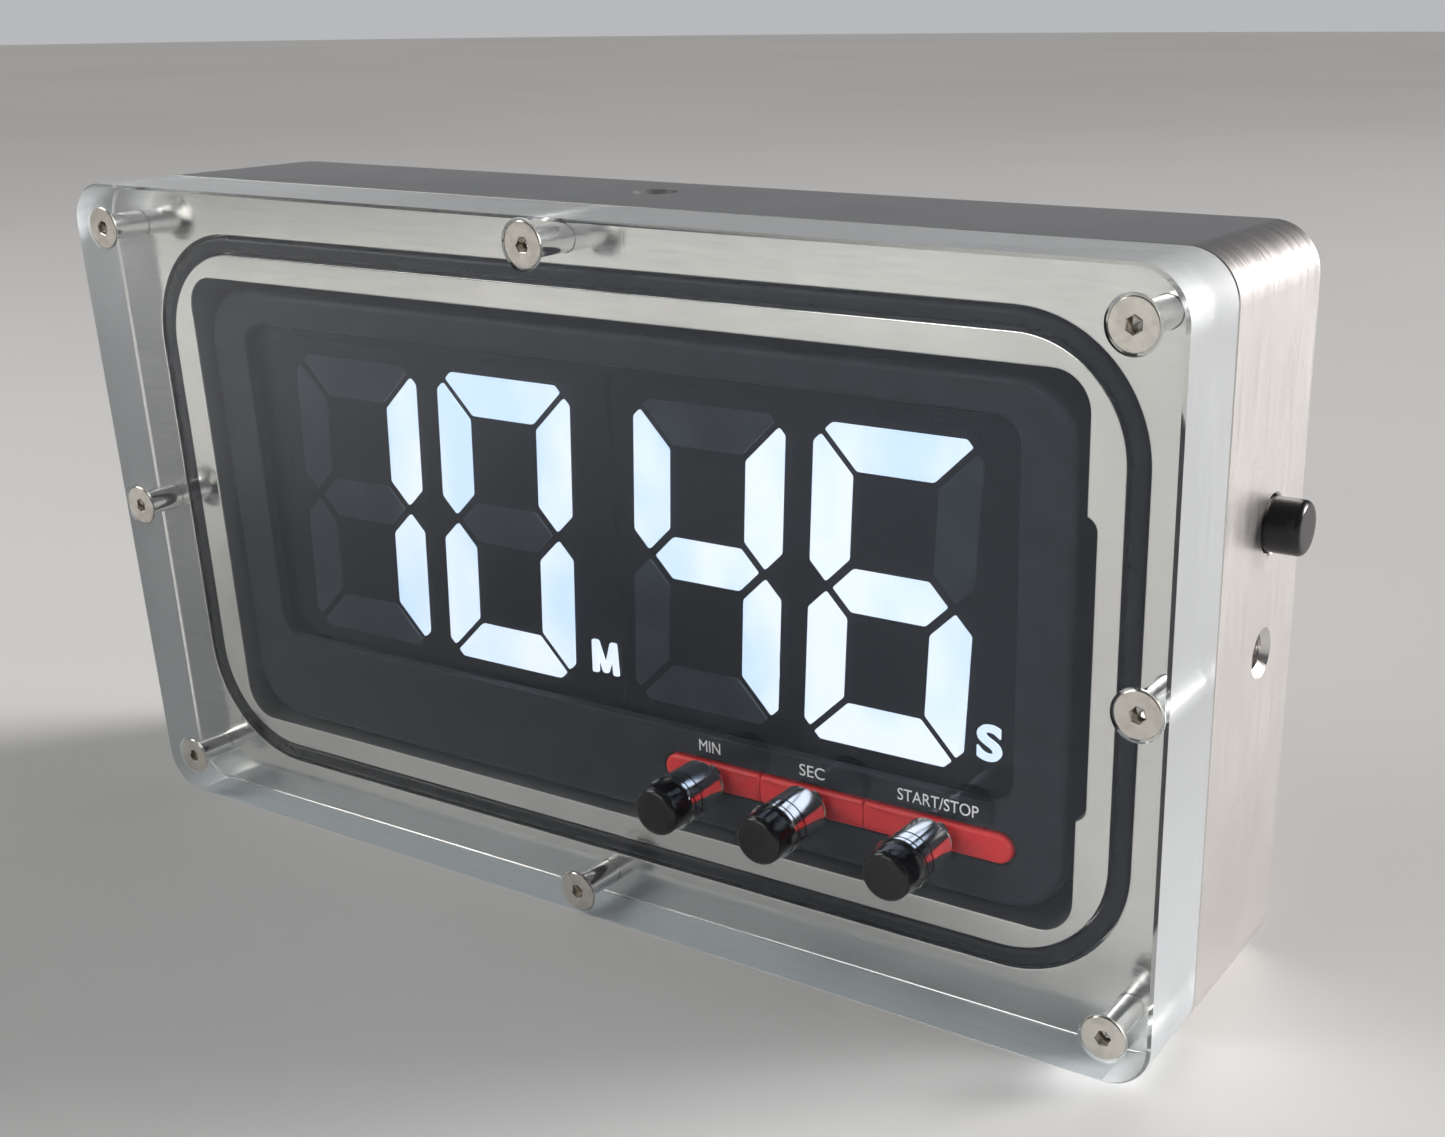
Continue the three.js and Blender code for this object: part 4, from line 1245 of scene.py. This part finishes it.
letter_s = lettering("seconds_letter", "S", *S_PLACE, *S_SIZE, BAR_FRONT, BAR_BACK, 0.03)
for sign in (letter_m("minutes_letter"), letter_s):
    paint(sign, LIT)
    hand_over(sign, "housing", "led_digits")
for name, (word, x, width) in WORDS.items():
    sign = lettering(name, word, x, WORD_Z, width, WORD_HEIGHT, -0.04, 0.01)
    paint(sign, PRINT)
    hand_over(sign, "housing", "case_black")

# %% [markdown]
# ## The lens over the display
# A thin smoked sheet with rounded corners. Its front and back edges are only just broken, so
# it shows a fine light line where it meets the case.

# %% The smoked lens
lens_low, lens_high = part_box("display_lens")
lens = rounded_block("smoked_display_lens", lens_low, lens_high, 4 * MM, 8)
bevel_edges(lens, is_long_edge, 0.15 * MM, 1)
paint(lens, SMOKED)
hand_over(lens, "housing", "tinted_lens", "display_lens")

# %% [markdown]
# ## Buttons and side key
# The three red buttons fill one long slot, so only the outer ends of the row are round. Each
# has a rolled front edge, a flange behind the case's face that holds it in, and a rib that
# reaches back to its switch.


# %% Three buttons in a row
def is_seam(edge):
    """A test for the long upright edges, where one button meets the next."""
    return runs_along(edge, 2) and edge.calc_length() > MM


def red_button(name):
    low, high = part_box(f"{name}_button")
    z = on_timer(0, 0, BUTTON_Z).z
    half = BUTTON_HALF * MM
    cap_back, lip_front, lip_back = (on_timer(0, y, 0).y for y in (2.4, 2.2, 3.2))
    cap = block(f"{name}_button_cap", (low.x, low.y, z - half), (high.x, cap_back, z + half))
    for x, is_round in ((low.x, name == "min"), (high.x, name == "start")):
        bevel_edges(cap, lambda edge: runs_along(edge, 1) and level(edge, 0, x),
                    (BUTTON_HALF - 0.01 if is_round else 0.15) * MM, 14 if is_round else 2)
    bevel_edges(cap, lambda edge: level(edge, 1, low.y) and not is_seam(edge), 0.6 * MM, 4)
    inset = 2.2 * MM
    lip = rounded_block("lip", (low.x + inset, lip_front, low.z), (high.x - inset, lip_back, high.z),
                        0.5 * MM, 3)
    x = PLUNGER_SPOTS[name][0]
    rib = settle(turned("rib", [(2.2, 2.6), (2.2, 4.3), (1.9, 4.6)], 32), (x, FACE.y, z))
    carve(cap, lip, how="UNION")
    carve(cap, rib, how="UNION")
    paint(cap, RED)
    hand_over(cap, f"{name}_button_body", "button_red", f"{name}_button")


for name in FRONT_BUTTONS:
    red_button(name)

# %% [markdown]
# The side key slides in a slot of the rear half. It is a rounded bar with finger grooves, a
# flange inside the wall that holds it in, and a tail that reaches its switch.


# %% Side key
def ridged_key():
    low, high = key_low, key_high
    across, tall = 1.7 * MM, 5.5 * MM
    wall = rear_high.x - (WALL + 0.3) * MM
    bar = rounded_block("side_key_bar", (wall - PAST, KEY_Y - across, KEY_Z - tall),
                        (high.x, KEY_Y + across, KEY_Z + tall), 0.5 * MM, 4, axis=0)
    bevel_edges(bar, lambda edge: level(edge, 0, high.x), 0.3 * MM, 3)
    grooves = [settle(turned("finger_groove", [(0.35, -4), (0.35, 4)], 16),
                      (high.x + 0.1 * MM, KEY_Y, KEY_Z + i * MM)) for i in range(-3, 4)]
    carve(bar, *grooves)
    flange = rounded_block("flange", (wall - PAST, low.y, low.z), (wall, high.y, high.z),
                           0.5 * MM, 3, axis=0)
    tail = rounded_block("tail", (low.x, KEY_Y - MM, KEY_Z - MM),
                         (wall - 0.5 * MM, KEY_Y + MM, KEY_Z + MM), 0.3 * MM, 3, axis=0)
    carve(bar, flange, how="UNION")
    carve(bar, tail, how="UNION")
    paint(bar, CASE)
    hand_over(bar, "side_key_body", "case_black", "side_key")


ridged_key()

# %% [markdown]
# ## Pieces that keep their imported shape
# The board, the cells, their contacts, the switches, the buzzer and the case's screws are
# shut inside and already have their true shape, so they only get a finish of their own.

# %% Finish the pieces inside
INSIDE = {"circuit_board": BOARD, "side_switch": MOULDED, "buzzer": MOULDED,
          "battery_contact_left": NICKEL, "battery_contact_right": NICKEL}
INSIDE.update({f"battery_{i}": SLEEVE for i in (1, 2, 3)})
INSIDE.update({f"case_screw_{i}": ZINC for i in (1, 2, 3, 4)})
for name in FRONT_BUTTONS:
    INSIDE.update({f"{name}_switch": MOULDED, f"{name}_switch_stem": MOULDED})
for node, material in INSIDE.items():
    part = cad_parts[node]
    part.data.materials.clear()
    part.data.materials.append(material)
print("finished inside:", len(INSIDE), "pieces")

# %% [markdown]
# ## The studio
# A plain pale floor and soft light. Even light from behind right, as from a window, runs down
# the brushed side and leaves the floor in front in shade, so that the thick window has little
# to mirror. A large lamp stands behind on the same side, and two small ones fill from the
# left and the front. The sky is a calm grey for the bare metal to reflect.


# %% Floor and sky
def pale_floor():
    bpy.ops.mesh.primitive_circle_add(vertices=96, radius=6, fill_type="NGON",
                                      location=(0, 0, cad_low.z))
    floor = bpy.context.object
    floor.name = "studio_floor"
    settle(floor)
    pale, shade = (0.78, 0.78, 0.77), (0.75, 0.75, 0.745)
    made = Finish("pale_floor", pale, 0.6)
    made.tint(made.effect(smudges, made.stretched(1.5, 1.5, 1.5)), pale, shade)
    floor.data.materials.append(made.material)


def grey_world(color, above, at_floor):
    """A calm sky that is palest just above the floor, so that no hard horizon shows."""
    world = bpy.data.worlds.new("soft_grey")
    world.use_nodes = True
    nodes, links = world.node_tree.nodes, world.node_tree.links
    sky = fill(nodes["Background"], Color=(*color, 1))
    apart = nodes.new("ShaderNodeSeparateXYZ")
    links.new(nodes.new("ShaderNodeTexCoord").outputs["Generated"], apart.inputs["Vector"])
    fade = fill(nodes.new("ShaderNodeMapRange"), From_Min=0.02, From_Max=0.2, To_Min=at_floor,
                To_Max=above)
    links.new(apart.outputs["Z"], fade.inputs["Value"])
    links.new(fade.outputs["Result"], sky.inputs["Strength"])
    bpy.context.scene.world = world


pale_floor()
grey_world((0.95, 0.97, 1.0), 0.11, 0.5)


# %% Lamps
def add_lamp(kind, name, place, toward, power, color):
    bpy.ops.object.light_add(type=kind, location=place)
    lamp = bpy.context.object
    lamp.name = name
    lamp.data.energy = power
    lamp.data.color = color
    lamp.rotation_euler = Vector(toward).to_track_quat("-Z", "Y").to_euler()
    return lamp.data


def soft_lamp(name, place, target, size, power, color=(1, 1, 1)):
    light = add_lamp("AREA", name, place, Vector(target) - Vector(place), power, color)
    light.shape = "RECTANGLE"
    light.size, light.size_y = size


def sunlight(name, toward, power, spread, color=(1, 1, 1)):
    """Even light from far away; toward is the way it shines, spread its softness in degrees."""
    add_lamp("SUN", name, (0, 0, 0), toward, power, color).angle = math.radians(spread)


sunlight("window_light", (-0.72, -0.66, -0.34), 3.4, 22, (1.0, 0.965, 0.94))
soft_lamp("key_lamp", (1.15, 1.05, 0.75), (0.1, 0, 0.05), (1.1, 0.9), 9, (1.0, 0.95, 0.93))
soft_lamp("left_lamp", (-0.75, -0.45, 0.66), (0, 0, 0.05), (0.5, 0.5), 3.2, (1.0, 0.98, 0.94))
soft_lamp("front_lamp", (-0.3, -0.95, 0.38), (0, 0, 0.05), (0.5, 0.3), 1.4)
bpy.context.scene.view_settings.view_transform = "Standard"
print("studio lights:", [lamp.name for lamp in bpy.data.lights])

# %% [markdown]
# ## The camera
# It stands to the right and a little above, close enough for a strong perspective. The lens
# shift frames the object without turning the camera.

# %% Camera
CAMERA_PLACE = Vector((0.17374, -0.21672, 0.13926))
YAW, PITCH_DOWN, ROLL = (math.radians(angle) for angle in (-31.246, -21.916, -0.424))
SENSOR, LENS, SHIFT = 36, 43.28, (-0.1212, 0.0828)


def studio_camera():
    along = math.cos(PITCH_DOWN)
    ahead = Vector((math.sin(YAW) * along, math.cos(YAW) * along, math.sin(PITCH_DOWN)))
    level_right = Vector((math.cos(YAW), -math.sin(YAW), 0))
    level_up = level_right.cross(ahead)
    right = math.cos(ROLL) * level_right + math.sin(ROLL) * level_up
    up = math.cos(ROLL) * level_up - math.sin(ROLL) * level_right
    bpy.ops.object.camera_add()
    camera = bpy.context.object
    facing = Matrix((right, up, -ahead)).transposed().to_4x4()
    camera.matrix_world = Matrix.Translation(CAMERA_PLACE) @ facing
    camera.data.sensor_width = SENSOR
    camera.data.lens = LENS
    camera.data.shift_x, camera.data.shift_y = SHIFT
    camera.data.clip_start = 10 * MM
    bpy.context.scene.camera = camera


studio_camera()
print("camera at", [round(side, 3) for side in CAMERA_PLACE])
